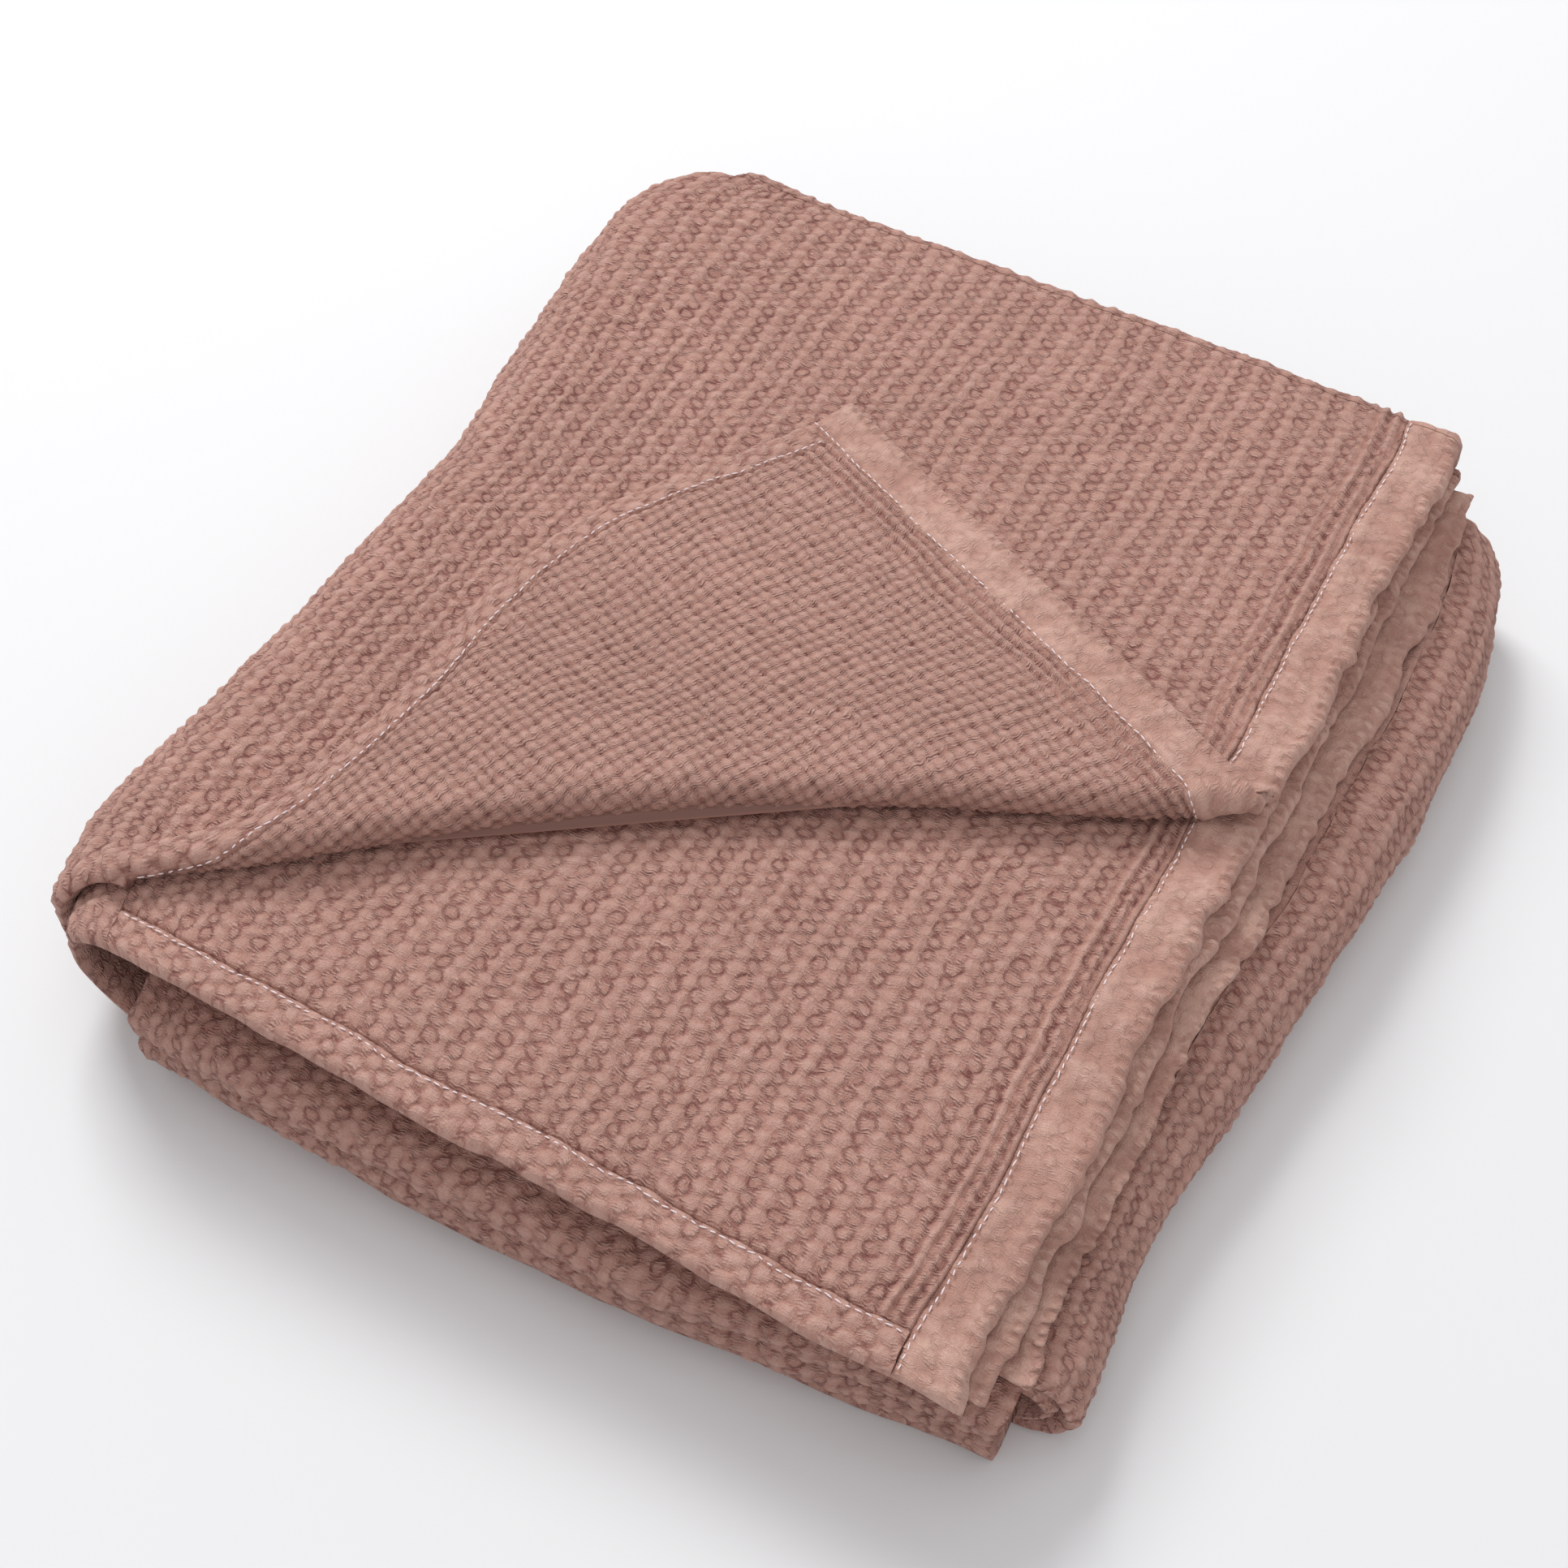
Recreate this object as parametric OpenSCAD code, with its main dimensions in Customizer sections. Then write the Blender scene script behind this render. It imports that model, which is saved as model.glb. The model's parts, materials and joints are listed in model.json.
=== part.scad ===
// Folded throw blanket of puffy double-woven cotton.
// The cloth is folded into ten leaves that lie flat on each other, and the front
// right corner of the top leaf is turned back over it along a slanting crease.
// X runs to the right, Y to the back and Z up. The origin is the middle of the
// bottom of the pack. Leaves are numbered from the floor up: 0 is the base, 9 is
// the top, and 10 is the turned-back corner that lies on the top leaf.

/* [Pack] */
// Width of the folded pack, from the left wrap to the right fold
pack_w = 443; // [420:1:470]
// Depth of the folded pack, from the front folds to the back folds
pack_d = 482; // [460:1:510]
// Thickness of one leaf of cloth, measured over its puffs
cloth_t = 8.6; // [6:0.1:9.5]
// Air between one leaf and the next
leaf_gap = 0.4; // [0.3:0.05:0.6]

/* [Edges] */
// Width of the wide hem on the two ends of the throw
end_hem_w = 22; // [16:1:30]
// Width of the narrow hem on the two sides of the throw
side_hem_w = 14; // [10:1:18]
// Width of the line of stitches between a hem and the cloth
seam_w = 1.2; // [0.8:0.1:2]
// How far the top leaf's hem stands back from the right fold
top_setback = 45; // [40:1:56]
// How far the third leaf's hem reaches past the second's
hem_step = 6; // [3:1:8]

/* [Turned corner] */
// Angle between the crease and the front edge
crease_angle = 33; // [28:1:36]
// Distance from the front edge of the top leaf to the left end of the crease
crease_rise = 28; // [8:1:40]
// Distance along the crease to the foot of the corner's tip
tip_along = 279; // [270:1:300]
// Distance from the crease out to the corner's tip
tip_out = 203; // [190:1:230]

/* [Hidden] */

// Leaf numbers
BASE = 0;
LINING = 1;
LOWER_PAIR = 2;
UPPER_PAIR = 4;
FOURTH = 6;
THIRD = 7;
SECOND = 8;
TOP = 9;
CORNER = 10;

// How far a cutting shape reaches past what it cuts
past = 2;
fold_sides = 96;

function leaf_z(level) = level * (cloth_t + leaf_gap);
function fold_r(low, high) = (leaf_z(high) + cloth_t - leaf_z(low)) / 2;
function fold_z(low, high) = (leaf_z(high) + cloth_t + leaf_z(low)) / 2;

left_x = -pack_w / 2;
right_x = pack_w / 2;
front_y = -pack_d / 2;
back_y = pack_d / 2;

// Where the flat leaves stop and their rounded turns begin
pair_r = fold_r(BASE, LINING);
wrap_x = left_x + fold_r(BASE, TOP);
inner_x = wrap_x + 14;
flat_back_y = back_y - pair_r;
doubled_x = wrap_x + 8;
doubled_front_y = front_y + pair_r;
doubled_right_x = right_x - fold_r(BASE, UPPER_PAIR + 1);

// Front edges of the leaves that have their edge at the front
top_front_y = front_y + 14;
second_front_y = top_front_y - 3;
third_front_y = top_front_y + 2;
fourth_front_y = top_front_y + 8;
base_front_y = front_y + 6;
wrap_front_y = top_front_y + 4;

// Right edges of the four hemmed leaves
top_right_x = right_x - top_setback;
second_right_x = top_right_x - 2;
third_right_x = second_right_x + hem_step;
fourth_right_x = third_right_x + 2 * hem_step;

// The crease runs from its left end to the right edge of the top leaf
crease_x = wrap_x + 1;
crease_y = top_front_y + crease_rise;
crease_z = leaf_z(TOP) + cloth_t + leaf_gap / 2;
crease_len = (top_right_x - crease_x) / cos(crease_angle);
crease_cut = pair_r + leaf_gap;
crease_start = 42;

// The end edge of the turned corner goes from its foot to the tip, and the side
// edge goes from the tip in a slow curve to the left end of the crease
corner_foot = [crease_len - crease_cut / 2, crease_cut];
corner_tip = [tip_along, tip_out];
corner_side = [corner_tip * 1.1, corner_tip, [tip_along * 0.51, tip_out * 0.60],
    [tip_along * 0.27, tip_out * 0.22], [crease_start, crease_cut]];
end_run = corner_tip - corner_foot;
end_turn = atan2(end_run[1], end_run[0]);
side_run = corner_tip - [crease_start, crease_cut];
side_inward = [side_run[1], -side_run[0]] / norm(side_run);

module rose() color([0.69, 0.50, 0.46]) children();
module pale_rose() color([0.76, 0.59, 0.54]) children();
module deep_rose() color([0.58, 0.40, 0.38]) children();
module white_thread() color([0.92, 0.88, 0.88]) children();

// The front edge of the top leaf, which follows the crease
function cut_y(x) = crease_y + (x - crease_x) * tan(crease_angle) + crease_cut / cos(crease_angle);

// One flat leaf between two X and two Y values
module leaf(level, x0, x1, y0, y1)
    translate([x0, y0, leaf_z(level)]) cube([x1 - x0, y1 - y0, cloth_t]);

// Half of a tube along Z, round on its +X side and open on its -X side
module half_tube(r, length)
    difference() {
        cylinder(r = r, h = length, $fn = fold_sides);
        translate([0, 0, -past]) cylinder(r = r - cloth_t, h = length + 2 * past, $fn = fold_sides);
        translate([-r - past, -r - past, -past]) cube([r + past, 2 * (r + past), length + 2 * past]);
    }

// The turn that joins two leaves at the right, or at the left when mirrored
module right_turn(low, high, x, y0, y1)
    translate([x, y0, fold_z(low, high)]) rotate([-90, 0, 0]) half_tube(fold_r(low, high), y1 - y0);
module left_turn(low, high, x, y0, y1)
    translate([x, 0, 0]) mirror([1, 0, 0]) right_turn(low, high, 0, y0, y1);

// The turn that joins two leaves at the back, or at the front when mirrored
module back_turn(low, high, y, x0, x1)
    translate([x0, y, fold_z(low, high)]) rotate([0, 90, 0]) rotate([0, 0, 90])
        half_tube(fold_r(low, high), x1 - x0);
module front_turn(low, high, y, x0, x1)
    translate([0, y, 0]) mirror([0, 1, 0]) back_turn(low, high, 0, x0, x1);

// Two leaves of one run of cloth, with the fold between them at the front
module doubled_leaf(low) {
    leaf(low, doubled_x, doubled_right_x, doubled_front_y, flat_back_y);
    leaf(low + 1, doubled_x, doubled_right_x, doubled_front_y, flat_back_y);
    front_turn(low, low + 1, doubled_front_y, doubled_x, doubled_right_x);
}

// The strips along the right edge of a leaf: its end hem and the stitches beside it
module end_hem(level, right, front)
    leaf(level, right - end_hem_w, right, front, flat_back_y);
module end_seam(level, right, front)
    leaf(level, right - end_hem_w - seam_w, right - end_hem_w, front, flat_back_y);

// The strips along the front edge of a leaf: its side hem and the stitches behind it
module side_hem(level, x0, right, front)
    leaf(level, x0, right - end_hem_w - seam_w, front, front + side_hem_w);
module side_seam(level, x0, right, front)
    leaf(level, x0, right - end_hem_w - seam_w, front + side_hem_w, front + side_hem_w + seam_w);

// The cloth of a leaf between its left turn, its end hem and its front edge
module leaf_cloth(level, x0, right, front)
    leaf(level, x0, right - end_hem_w - seam_w, front, flat_back_y);

// A piece of the top leaf between two X values, cut off along the crease
module top_piece(x0, x1)
    translate([0, 0, leaf_z(TOP)]) linear_extrude(cloth_t)
        polygon([[x0, cut_y(x0)], [x1, cut_y(x1)], [x1, flat_back_y], [x0, flat_back_y]]);

// Places a shape drawn along the crease and out from it, towards the back left
module along_crease(z)
    translate([crease_x, crease_y, z]) rotate([0, 0, crease_angle]) children();

// All that lies inside the end edge, or the side edge, of the turned corner by an inset
module inside_end(inset)
    translate(corner_foot) rotate(end_turn) translate([-crease_len, inset])
        square([3 * crease_len, 2 * crease_len]);
module inside_side(inset)
    polygon(concat([for (p = corner_side) p + inset * side_inward],
        [[crease_start, -crease_len], [2 * crease_len, -crease_len], [2 * crease_len, 2 * tip_out]]));
module past_crease()
    translate([crease_start, crease_cut]) square([2 * crease_len, crease_len]);

// A piece of the turned corner, between insets from its end and side edges
module corner_piece(end_from, end_to, side_from, side_to)
    along_crease(leaf_z(CORNER)) linear_extrude(cloth_t)
        difference() {
            intersection() {
                past_crease();
                inside_end(end_from);
                inside_side(side_from);
            }
            if (end_to > 0) inside_end(end_to);
            if (side_to > 0) inside_side(side_to);
        }

seam_in_end = end_hem_w + seam_w;
seam_in_side = side_hem_w + seam_w;

module base_leaf() deep_rose() leaf(BASE, wrap_x, doubled_right_x, base_front_y, flat_back_y);
module lining_leaf() deep_rose() leaf(LINING, wrap_x, doubled_right_x, base_front_y + past, flat_back_y);
module lower_doubled_leaf() rose() doubled_leaf(LOWER_PAIR);
module upper_doubled_leaf() rose() doubled_leaf(UPPER_PAIR);

module fourth_leaf() rose() leaf_cloth(FOURTH, inner_x, fourth_right_x, fourth_front_y);
module fourth_leaf_end_hem() pale_rose() end_hem(FOURTH, fourth_right_x, fourth_front_y);
module fourth_leaf_end_seam() white_thread() end_seam(FOURTH, fourth_right_x, fourth_front_y);

module third_leaf() rose() leaf_cloth(THIRD, inner_x, third_right_x, third_front_y + seam_in_side);
module third_leaf_end_hem() pale_rose() end_hem(THIRD, third_right_x, third_front_y);
module third_leaf_end_seam() white_thread() end_seam(THIRD, third_right_x, third_front_y);
module third_leaf_side_hem() rose() side_hem(THIRD, inner_x, third_right_x, third_front_y);
module third_leaf_side_seam() white_thread() side_seam(THIRD, inner_x, third_right_x, third_front_y);

module second_leaf() rose() leaf_cloth(SECOND, wrap_x, second_right_x, second_front_y + seam_in_side);
module second_leaf_end_hem() pale_rose() end_hem(SECOND, second_right_x, second_front_y);
module second_leaf_end_seam() white_thread() end_seam(SECOND, second_right_x, second_front_y);
module second_leaf_side_hem() rose() side_hem(SECOND, wrap_x, second_right_x, second_front_y);
module second_leaf_side_seam() white_thread() side_seam(SECOND, wrap_x, second_right_x, second_front_y);

module top_leaf() rose() top_piece(wrap_x, top_right_x - seam_in_end);
module top_leaf_end_hem() pale_rose() top_piece(top_right_x - end_hem_w, top_right_x);
module top_leaf_end_seam() white_thread() top_piece(top_right_x - seam_in_end, top_right_x - end_hem_w);
module corner_crease()
    rose() along_crease(crease_z) translate([crease_start, 0, 0]) rotate([0, 90, 0])
        cylinder(r = pair_r, h = crease_len - crease_start, $fn = fold_sides);

module outer_left_wrap() rose() left_turn(BASE, TOP, wrap_x, wrap_front_y, flat_back_y);
module inner_left_wrap() rose() left_turn(LINING, SECOND, wrap_x, second_front_y, flat_back_y);
module inner_left_fold() rose() left_turn(FOURTH, THIRD, inner_x, fourth_front_y, flat_back_y);
module outer_right_fold()
    rose() right_turn(BASE, UPPER_PAIR + 1, doubled_right_x, base_front_y + seam_in_side, flat_back_y);
module inner_right_fold()
    rose() right_turn(LINING, UPPER_PAIR, doubled_right_x, base_front_y + seam_in_side, flat_back_y);

module upper_back_fold() rose() back_turn(SECOND, TOP, flat_back_y, wrap_x, second_right_x);
module middle_back_fold() rose() back_turn(FOURTH, THIRD, flat_back_y, inner_x, third_right_x);
module lower_back_fold() rose() back_turn(BASE, LINING, flat_back_y, wrap_x, doubled_right_x);

module turned_corner() deep_rose() corner_piece(seam_in_end, 0, seam_in_side, 0);
module turned_corner_end_hem() pale_rose() corner_piece(0, end_hem_w, 0, 0);
module turned_corner_end_seam() white_thread() corner_piece(end_hem_w, seam_in_end, 0, 0);
module turned_corner_side_hem() pale_rose() corner_piece(seam_in_end, 0, 0, side_hem_w);
module turned_corner_side_seam() white_thread() corner_piece(seam_in_end, 0, side_hem_w, seam_in_side);

base_leaf();
lining_leaf();
lower_doubled_leaf();
upper_doubled_leaf();
fourth_leaf();
fourth_leaf_end_hem();
fourth_leaf_end_seam();
third_leaf();
third_leaf_end_hem();
third_leaf_end_seam();
third_leaf_side_hem();
third_leaf_side_seam();
second_leaf();
second_leaf_end_hem();
second_leaf_end_seam();
second_leaf_side_hem();
second_leaf_side_seam();
top_leaf();
top_leaf_end_hem();
top_leaf_end_seam();
corner_crease();
outer_left_wrap();
inner_left_wrap();
inner_left_fold();
outer_right_fold();
inner_right_fold();
upper_back_fold();
middle_back_fold();
lower_back_fold();
turned_corner();
turned_corner_end_hem();
turned_corner_end_seam();
turned_corner_side_hem();
turned_corner_side_seam();
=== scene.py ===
"""Folded throw blanket: the looks of each leaf, hem, fold and row of stitches."""

import json
import math

import bmesh
import bpy
import numpy as np
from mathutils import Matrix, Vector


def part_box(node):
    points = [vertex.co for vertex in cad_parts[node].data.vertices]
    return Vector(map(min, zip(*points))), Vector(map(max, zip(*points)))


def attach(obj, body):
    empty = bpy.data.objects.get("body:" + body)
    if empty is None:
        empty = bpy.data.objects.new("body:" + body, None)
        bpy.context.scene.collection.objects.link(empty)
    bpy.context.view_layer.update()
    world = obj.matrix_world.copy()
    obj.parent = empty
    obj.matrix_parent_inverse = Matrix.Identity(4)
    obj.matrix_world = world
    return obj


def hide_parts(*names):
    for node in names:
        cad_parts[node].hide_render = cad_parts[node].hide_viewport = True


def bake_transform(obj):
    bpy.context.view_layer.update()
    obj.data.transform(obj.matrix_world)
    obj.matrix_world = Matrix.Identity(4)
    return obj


bl_info = {
    "name": "Folded Throw Blanket",
    "version": (1, 0, 0),
    "blender": (4, 5, 0),
    "location": "3D View > Sidebar > Throw",
    "description": "Builds a folded throw of puffy double-woven cotton, leaf by leaf",
    "category": "Add Mesh",
}

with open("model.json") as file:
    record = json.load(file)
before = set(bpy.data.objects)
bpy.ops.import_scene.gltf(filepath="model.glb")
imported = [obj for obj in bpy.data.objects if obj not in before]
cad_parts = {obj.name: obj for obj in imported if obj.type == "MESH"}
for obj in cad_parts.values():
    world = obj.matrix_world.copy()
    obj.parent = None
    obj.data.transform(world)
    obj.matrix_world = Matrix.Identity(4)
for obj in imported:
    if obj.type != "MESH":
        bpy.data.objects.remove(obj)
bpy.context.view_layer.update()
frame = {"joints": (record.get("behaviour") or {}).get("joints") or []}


# ---------------------------------------------------------------- sizes from the frame


def low(node, axis):
    """The lowest x, y or z of a node, for axis 0, 1 or 2."""
    return float(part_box(node)[0][axis])


def high(node, axis):
    return float(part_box(node)[1][axis])


THICK = high("base_leaf", 2) - low("base_leaf", 2)
HALF = THICK / 2
WRAP_X = low("top_leaf", 0)
INNER_X = low("third_leaf", 0)
FLAT_BACK = high("top_leaf", 1)
TOP_SEAM = high("top_leaf", 0)
TOP_RIGHT = high("top_leaf_end_hem", 0)
BASE_RIGHT = high("base_leaf", 0)
LEFT_X = low("outer_left_wrap", 0)
RIGHT_X = high("outer_right_fold", 0)
STACK_TOP = high("top_leaf", 2)
PACK_FRONT = low("lower_doubled_leaf", 1)


def leaf_level(node):
    """The middle of a flat leaf, for nodes that lie flat."""
    return low(node, 2) + HALF


TOP_Z = leaf_level("top_leaf")
SECOND_Z = leaf_level("second_leaf")
THIRD_Z = leaf_level("third_leaf")
FOURTH_Z = leaf_level("fourth_leaf")
BASE_Z = leaf_level("base_leaf")
LINING_Z = leaf_level("lining_leaf")
LEVEL_STEP = TOP_Z - SECOND_Z
TURN_R = LEVEL_STEP / 2

HINGE = frame["joints"][0]
CREASE_AT = np.array(HINGE["pos_m"])
CREASE_WAY = np.array(HINGE["axis"]) / np.linalg.norm(HINGE["axis"])
CREASE_BACK = np.array([-CREASE_WAY[1], CREASE_WAY[0], 0.0])
CREASE_LEN = (TOP_RIGHT - CREASE_AT[0]) / CREASE_WAY[0]
CORNER_TURN = math.pi * TURN_R

# Hems are meshed finer than the leaves. Stitches run inside the folded edge of a hem, and lie a little
# below or above the face of the cloth.
HEM_HALF = HALF * 0.94
HEM_STEP = 0.0009
ROW_STEP = 0.001
ROW_INSET = 0.0019
ROW_SUNK = HALF - 0.0001
ROW_PROUD = HALF + 0.0001


# ---------------------------------------------------------------- settings


def length(name, words, value):
    return bpy.props.FloatProperty(name=name, description=words, default=value, unit="LENGTH")


class ThrowSizes(bpy.types.PropertyGroup):
    """Sizes of the weave and the stitches"""

    column: length("Column pitch", "Distance between the columns of puffs", 0.0052)
    row: length("Row pitch", "Distance between the rows of puffs", 0.0061)
    puff: length("Puff height", "How far a puff stands up", 0.00115)
    pit: length("Pit depth", "How deep a pit between puffs is", 0.0011)
    stitch_pitch: length("Stitch pitch", "Distance from one stitch to the next", 0.0036)
    stitch_length: length("Stitch length", "Length of thread that shows", 0.0027)
    stitch_radius: length("Thread radius", "Radius of the thread", 0.00031)


def colour(name, words, rgb):
    return bpy.props.FloatVectorProperty(
        name=name, description=words, default=rgb, size=3, subtype="COLOR", min=0, max=1
    )


class ThrowColours(bpy.types.PropertyGroup):
    """Colours of the cloth, the hems and the thread"""

    # crown, body and pit, and hem_crown and hem_body, are stops of a colour ramp that follows the height of
    # the cloth: partly the cloth's own rose tone, partly painted light on the crowns and painted shade in the
    # pits.
    crown: colour("Puff", "Cloth on the crown of a puff", (0.545, 0.345, 0.290))
    body: colour("Cloth", "Cloth between crown and pit", (0.415, 0.224, 0.180))
    pit: colour("Pit", "Cloth in a pit", (0.175, 0.060, 0.054))
    hem_crown: colour("Hem crown", "High cloth of a hem", (0.590, 0.385, 0.318))
    hem_body: colour("Hem", "Low cloth of a hem", (0.455, 0.262, 0.212))
    thread: colour("Thread", "Sewing thread", (0.80, 0.70, 0.72))
    floor: colour("Floor", "Studio floor", (0.765, 0.785, 0.795))


def sizes():
    return bpy.context.scene.throw_sizes


def colours():
    return bpy.context.scene.throw_colours


# ---------------------------------------------------------------- soft random heights


def scatter(i, j, seed):
    """One steady random number from 0 to 1 for each whole pair i, j."""
    n = i.astype(np.int64) * 374761393 + j.astype(np.int64) * 668265263 + seed * 974634777
    n = (n ^ (n >> 13)) & 0xFFFFFFFF
    n = (n * 1274126177) & 0xFFFFFFFF
    n = n ^ (n >> 16)
    return (n & 0xFFFFFF) / float(0x1000000)


def drift(x, y, size, seed):
    """Smooth random heights from -1 to 1, with swells about size across."""
    gx, gy = x / size, y / size
    i, j = np.floor(gx), np.floor(gy)
    fx, fy = gx - i, gy - j
    fx, fy = fx * fx * (3 - 2 * fx), fy * fy * (3 - 2 * fy)
    low_side = scatter(i, j, seed) * (1 - fx) + scatter(i + 1, j, seed) * fx
    high_side = scatter(i, j + 1, seed) * (1 - fx) + scatter(i + 1, j + 1, seed) * fx
    return (low_side * (1 - fy) + high_side * fy) * 2 - 1


def ramp(x, start, end):
    """0 before start, 1 after end, and a smooth rise between them."""
    t = np.clip((x - start) / (end - start), 0, 1)
    return t * t * (3 - 2 * t)


def dome(r):
    """A round crown that falls to nothing at r = 1."""
    return np.sqrt(np.clip(1 - r * r, 0, None))


def bowl(r):
    return np.clip(1 - r * r, 0, None)


def smooth_line(x, points):
    """A soft curve through a few (x, y) points."""
    xs, ys = np.array([p[0] for p in points]), np.array([p[1] for p in points])
    slope = np.gradient(ys, xs)
    k = np.clip(np.searchsorted(xs, x) - 1, 0, len(xs) - 2)
    w = xs[k + 1] - xs[k]
    t = np.clip((x - xs[k]) / w, 0, 1)
    return (
        ys[k] * (1 + 2 * t) * (1 - t) ** 2
        + slope[k] * w * t * (1 - t) ** 2
        + ys[k + 1] * t * t * (3 - 2 * t)
        + slope[k + 1] * w * t * t * (t - 1)
    )


# ---------------------------------------------------------------- how the pack settles

# Each list gives, along the pack from front to back or from left to right, how far
# an edge of the real, loosely folded pack stands in from the straight one.
LEFT_IN = [(-0.232, 0.019), (-0.211, 0.011), (-0.181, 0.004), (-0.121, 0.008), (-0.031, 0.012),
           (0.046, 0.012), (0.120, 0.003), (0.185, -0.004), (0.222, 0.002), (0.243, 0.020)]
RIGHT_IN = [(-0.236, -0.012), (-0.207, -0.014), (-0.117, -0.018), (-0.037, -0.009), (0.023, -0.001),
            (0.113, 0.003), (0.173, 0.002), (0.208, -0.006), (0.238, -0.018)]
FRONT_IN = [(-0.222, 0.004), (-0.150, 0.0), (-0.060, -0.001), (0.010, 0.001), (0.080, 0.007),
            (0.140, 0.014), (0.222, 0.021)]


def before_crease(x, y):
    """Distance of a point in front of the crease, over the second leaf. It is negative behind it."""
    return -((x - CREASE_AT[0]) * CREASE_BACK[0] + (y - CREASE_AT[1]) * CREASE_BACK[1])


def settle(p):
    """Moves points of the ideal pack to where the soft, uneven pack has them."""
    x, y, z = p[..., 0], p[..., 1], p[..., 2]
    lift = np.clip(z / STACK_TOP, 0, 1.1)
    left = ramp(-x, -WRAP_X - 0.075, -LEFT_X - 0.012)
    right = ramp(x, 0.135, RIGHT_X) * ramp(-z, -0.070, -0.046)
    front = ramp(-y, 0.10, -PACK_FRONT - 0.01) * ramp(-z, -0.074, -0.052)
    away = before_crease(x, y)
    swell = 0.0017 * drift(x, y, 0.095, 5) + 0.0009 * drift(x, y, 0.042, 6)
    swell = swell * ramp(np.abs(away), 0.008, 0.050)
    droop = 1 - 0.13 * ramp(away, 0.030, 0.215) - 0.02 * ramp(x, 0.15, 0.21)
    wave = 0.0014 * drift(x * 0.4, y, 0.05, 8) * (1 - lift)
    ripple = 1 - 0.6 * bowl(away / 0.02)
    new_x = x + left * smooth_line(y, LEFT_IN) + right * (smooth_line(y, RIGHT_IN) + wave)
    wide, small = drift(x, y + 2.3 * z, 0.034, 12), drift(x, y + 3 * z, 0.011, 13)
    new_x = new_x + ripple * (0.0015 * wide + 0.0006 * small)
    new_y = y + front * (smooth_line(x, FRONT_IN) + 0.0016 * drift(x, z, 0.05, 9))
    wide, small = drift(x + 2.3 * z, y, 0.037, 14), drift(x + 3 * z, y, 0.012, 15)
    new_y = new_y + ripple * (0.0014 * wide + 0.0006 * small)
    new_z = z * droop + swell * lift
    return np.stack([new_x, new_y, np.maximum(new_z, 0.0002)], axis=-1)


# ---------------------------------------------------------------- weave relief


# How far the weave drifts, and over what distance. Then the half widths of its parts, across and along.
WIDE_DRIFT = (0.0021, 0.066)
SMALL_DRIFT = (0.00075, 0.0085)
BUTTON_REACH = (0.0027, 0.0025)
PAD_REACH = (0.0036, 0.0035)
BUMP_REACH = (0.0026, 0.0029)
PIT_REACH = (0.0038, 0.0034)
GAP_REACH = (0.0024, 0.0014)
BUBBLE_REACH = (0.0036, 0.0028)
HEM_RELIEF = 0.0017
BUBBLE_RELIEF = 0.0016
REVERSE_TIGHT = 0.90


def weave_at(u, v, seed, tight=1.0):
    """Column and row numbers of a point of the flat cloth, with the drift of a washed weave."""
    s = sizes()
    (far, wide), (near, small) = WIDE_DRIFT, SMALL_DRIFT

    def drifted(x, first):
        return x + far * drift(u, v, wide, first) + near * drift(u, v, small, first + 1)

    return drifted(u, seed) / (s.column * tight), drifted(v, seed + 2) / (s.row * tight)


def from_puff(a, b, pitch, shift, reach):
    """How far points are from the nearest place of a lattice, with that place's number. pitch and shift are
    in columns and rows, and reach is the half width of a puff in metres."""
    s = sizes()
    i, j = np.round((a - shift[0]) / pitch), np.round(b - shift[1])
    across = (a - shift[0] - pitch * i) * s.column / reach[0]
    along = (b - shift[1] - j) * s.row / reach[1]
    return across, along, i, j


def puffs(a, b, pitch, shift, reach, seed):
    """Rounded puffs in a lattice, from 0 between them to about 1 on the crown."""
    across, along, i, j = from_puff(a, b, pitch, shift, reach)
    return dome(np.hypot(across, along)) * (0.62 + 0.38 * scatter(i, j, seed))


def swells(a, b, pitch, shift, reach, seed):
    """Like puffs, but soft all round, so that neighbours run together."""
    across, along, i, j = from_puff(a, b, pitch, shift, reach)
    return np.exp(-1.5 * (across ** 2 + along ** 2)) * (0.60 + 0.55 * scatter(i, j, seed))


def face_height(a, b, seed):
    """Face side: columns of buttons, each in a small pit, with soft pads in the gaps between them."""
    s = sizes()
    pad = swells(a, b, 2, (1, 0.5), PAD_REACH, seed + 3)
    pit = swells(a, b, 2, (0, 0), PIT_REACH, seed)
    button = puffs(a, b, 2, (0, 0), BUTTON_REACH, seed + 7)
    gap = swells(a, b, 2, (1, 0), GAP_REACH, seed + 11)
    regular = (0.75 * pad - 0.25) * s.puff - (pit - 1.05 * button + 0.30 * gap) * s.pit
    return regular + crinkle(a, b, seed)


def crinkle(a, b, seed):
    """Uneven shrinking of the washed cloth, a few millimetres across."""
    s = sizes()
    across, along = a * s.column, b * s.row
    wide = 0.00034 * drift(across, along, 0.0034, seed + 31)
    return wide + 0.00018 * drift(across, along, 0.0021, seed + 32)


def reverse_height(a, b, seed):
    """Reverse side: round bumps in a square grid, with columns of deep and shallow pits between."""
    s = sizes()
    bump = swells(a, b, 1, (0, 0), BUMP_REACH, seed)
    i, j = np.floor(a), np.floor(b)
    pit = np.exp(-2.2 * (((a - i - 0.5) / 0.33) ** 2 + ((b - j - 0.5) / 0.33) ** 2))
    deep = np.where(i % 2 == 0, 0.95, 0.25) * (0.45 + 0.9 * scatter(i, j, seed + 5))
    return (bump - 0.35) * s.puff * 1.1 - pit * deep * s.pit + 0.8 * crinkle(a, b, seed)


def rib_height(distance, along, seed):
    """Gathered cloth beside a wide hem: a few twisted ribs that run along the seam."""
    s = sizes()
    turn = distance / 0.0050 + 0.22 * drift(distance, along, 0.02, seed)
    twist = 0.35 * np.sin((along + distance * 0.8) / 0.0019 + 3 * drift(distance, along, 0.01, seed + 1))
    return s.puff * (0.95 * np.cos(turn * 2 * math.pi) + twist * 0.45 - 0.25)


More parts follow.
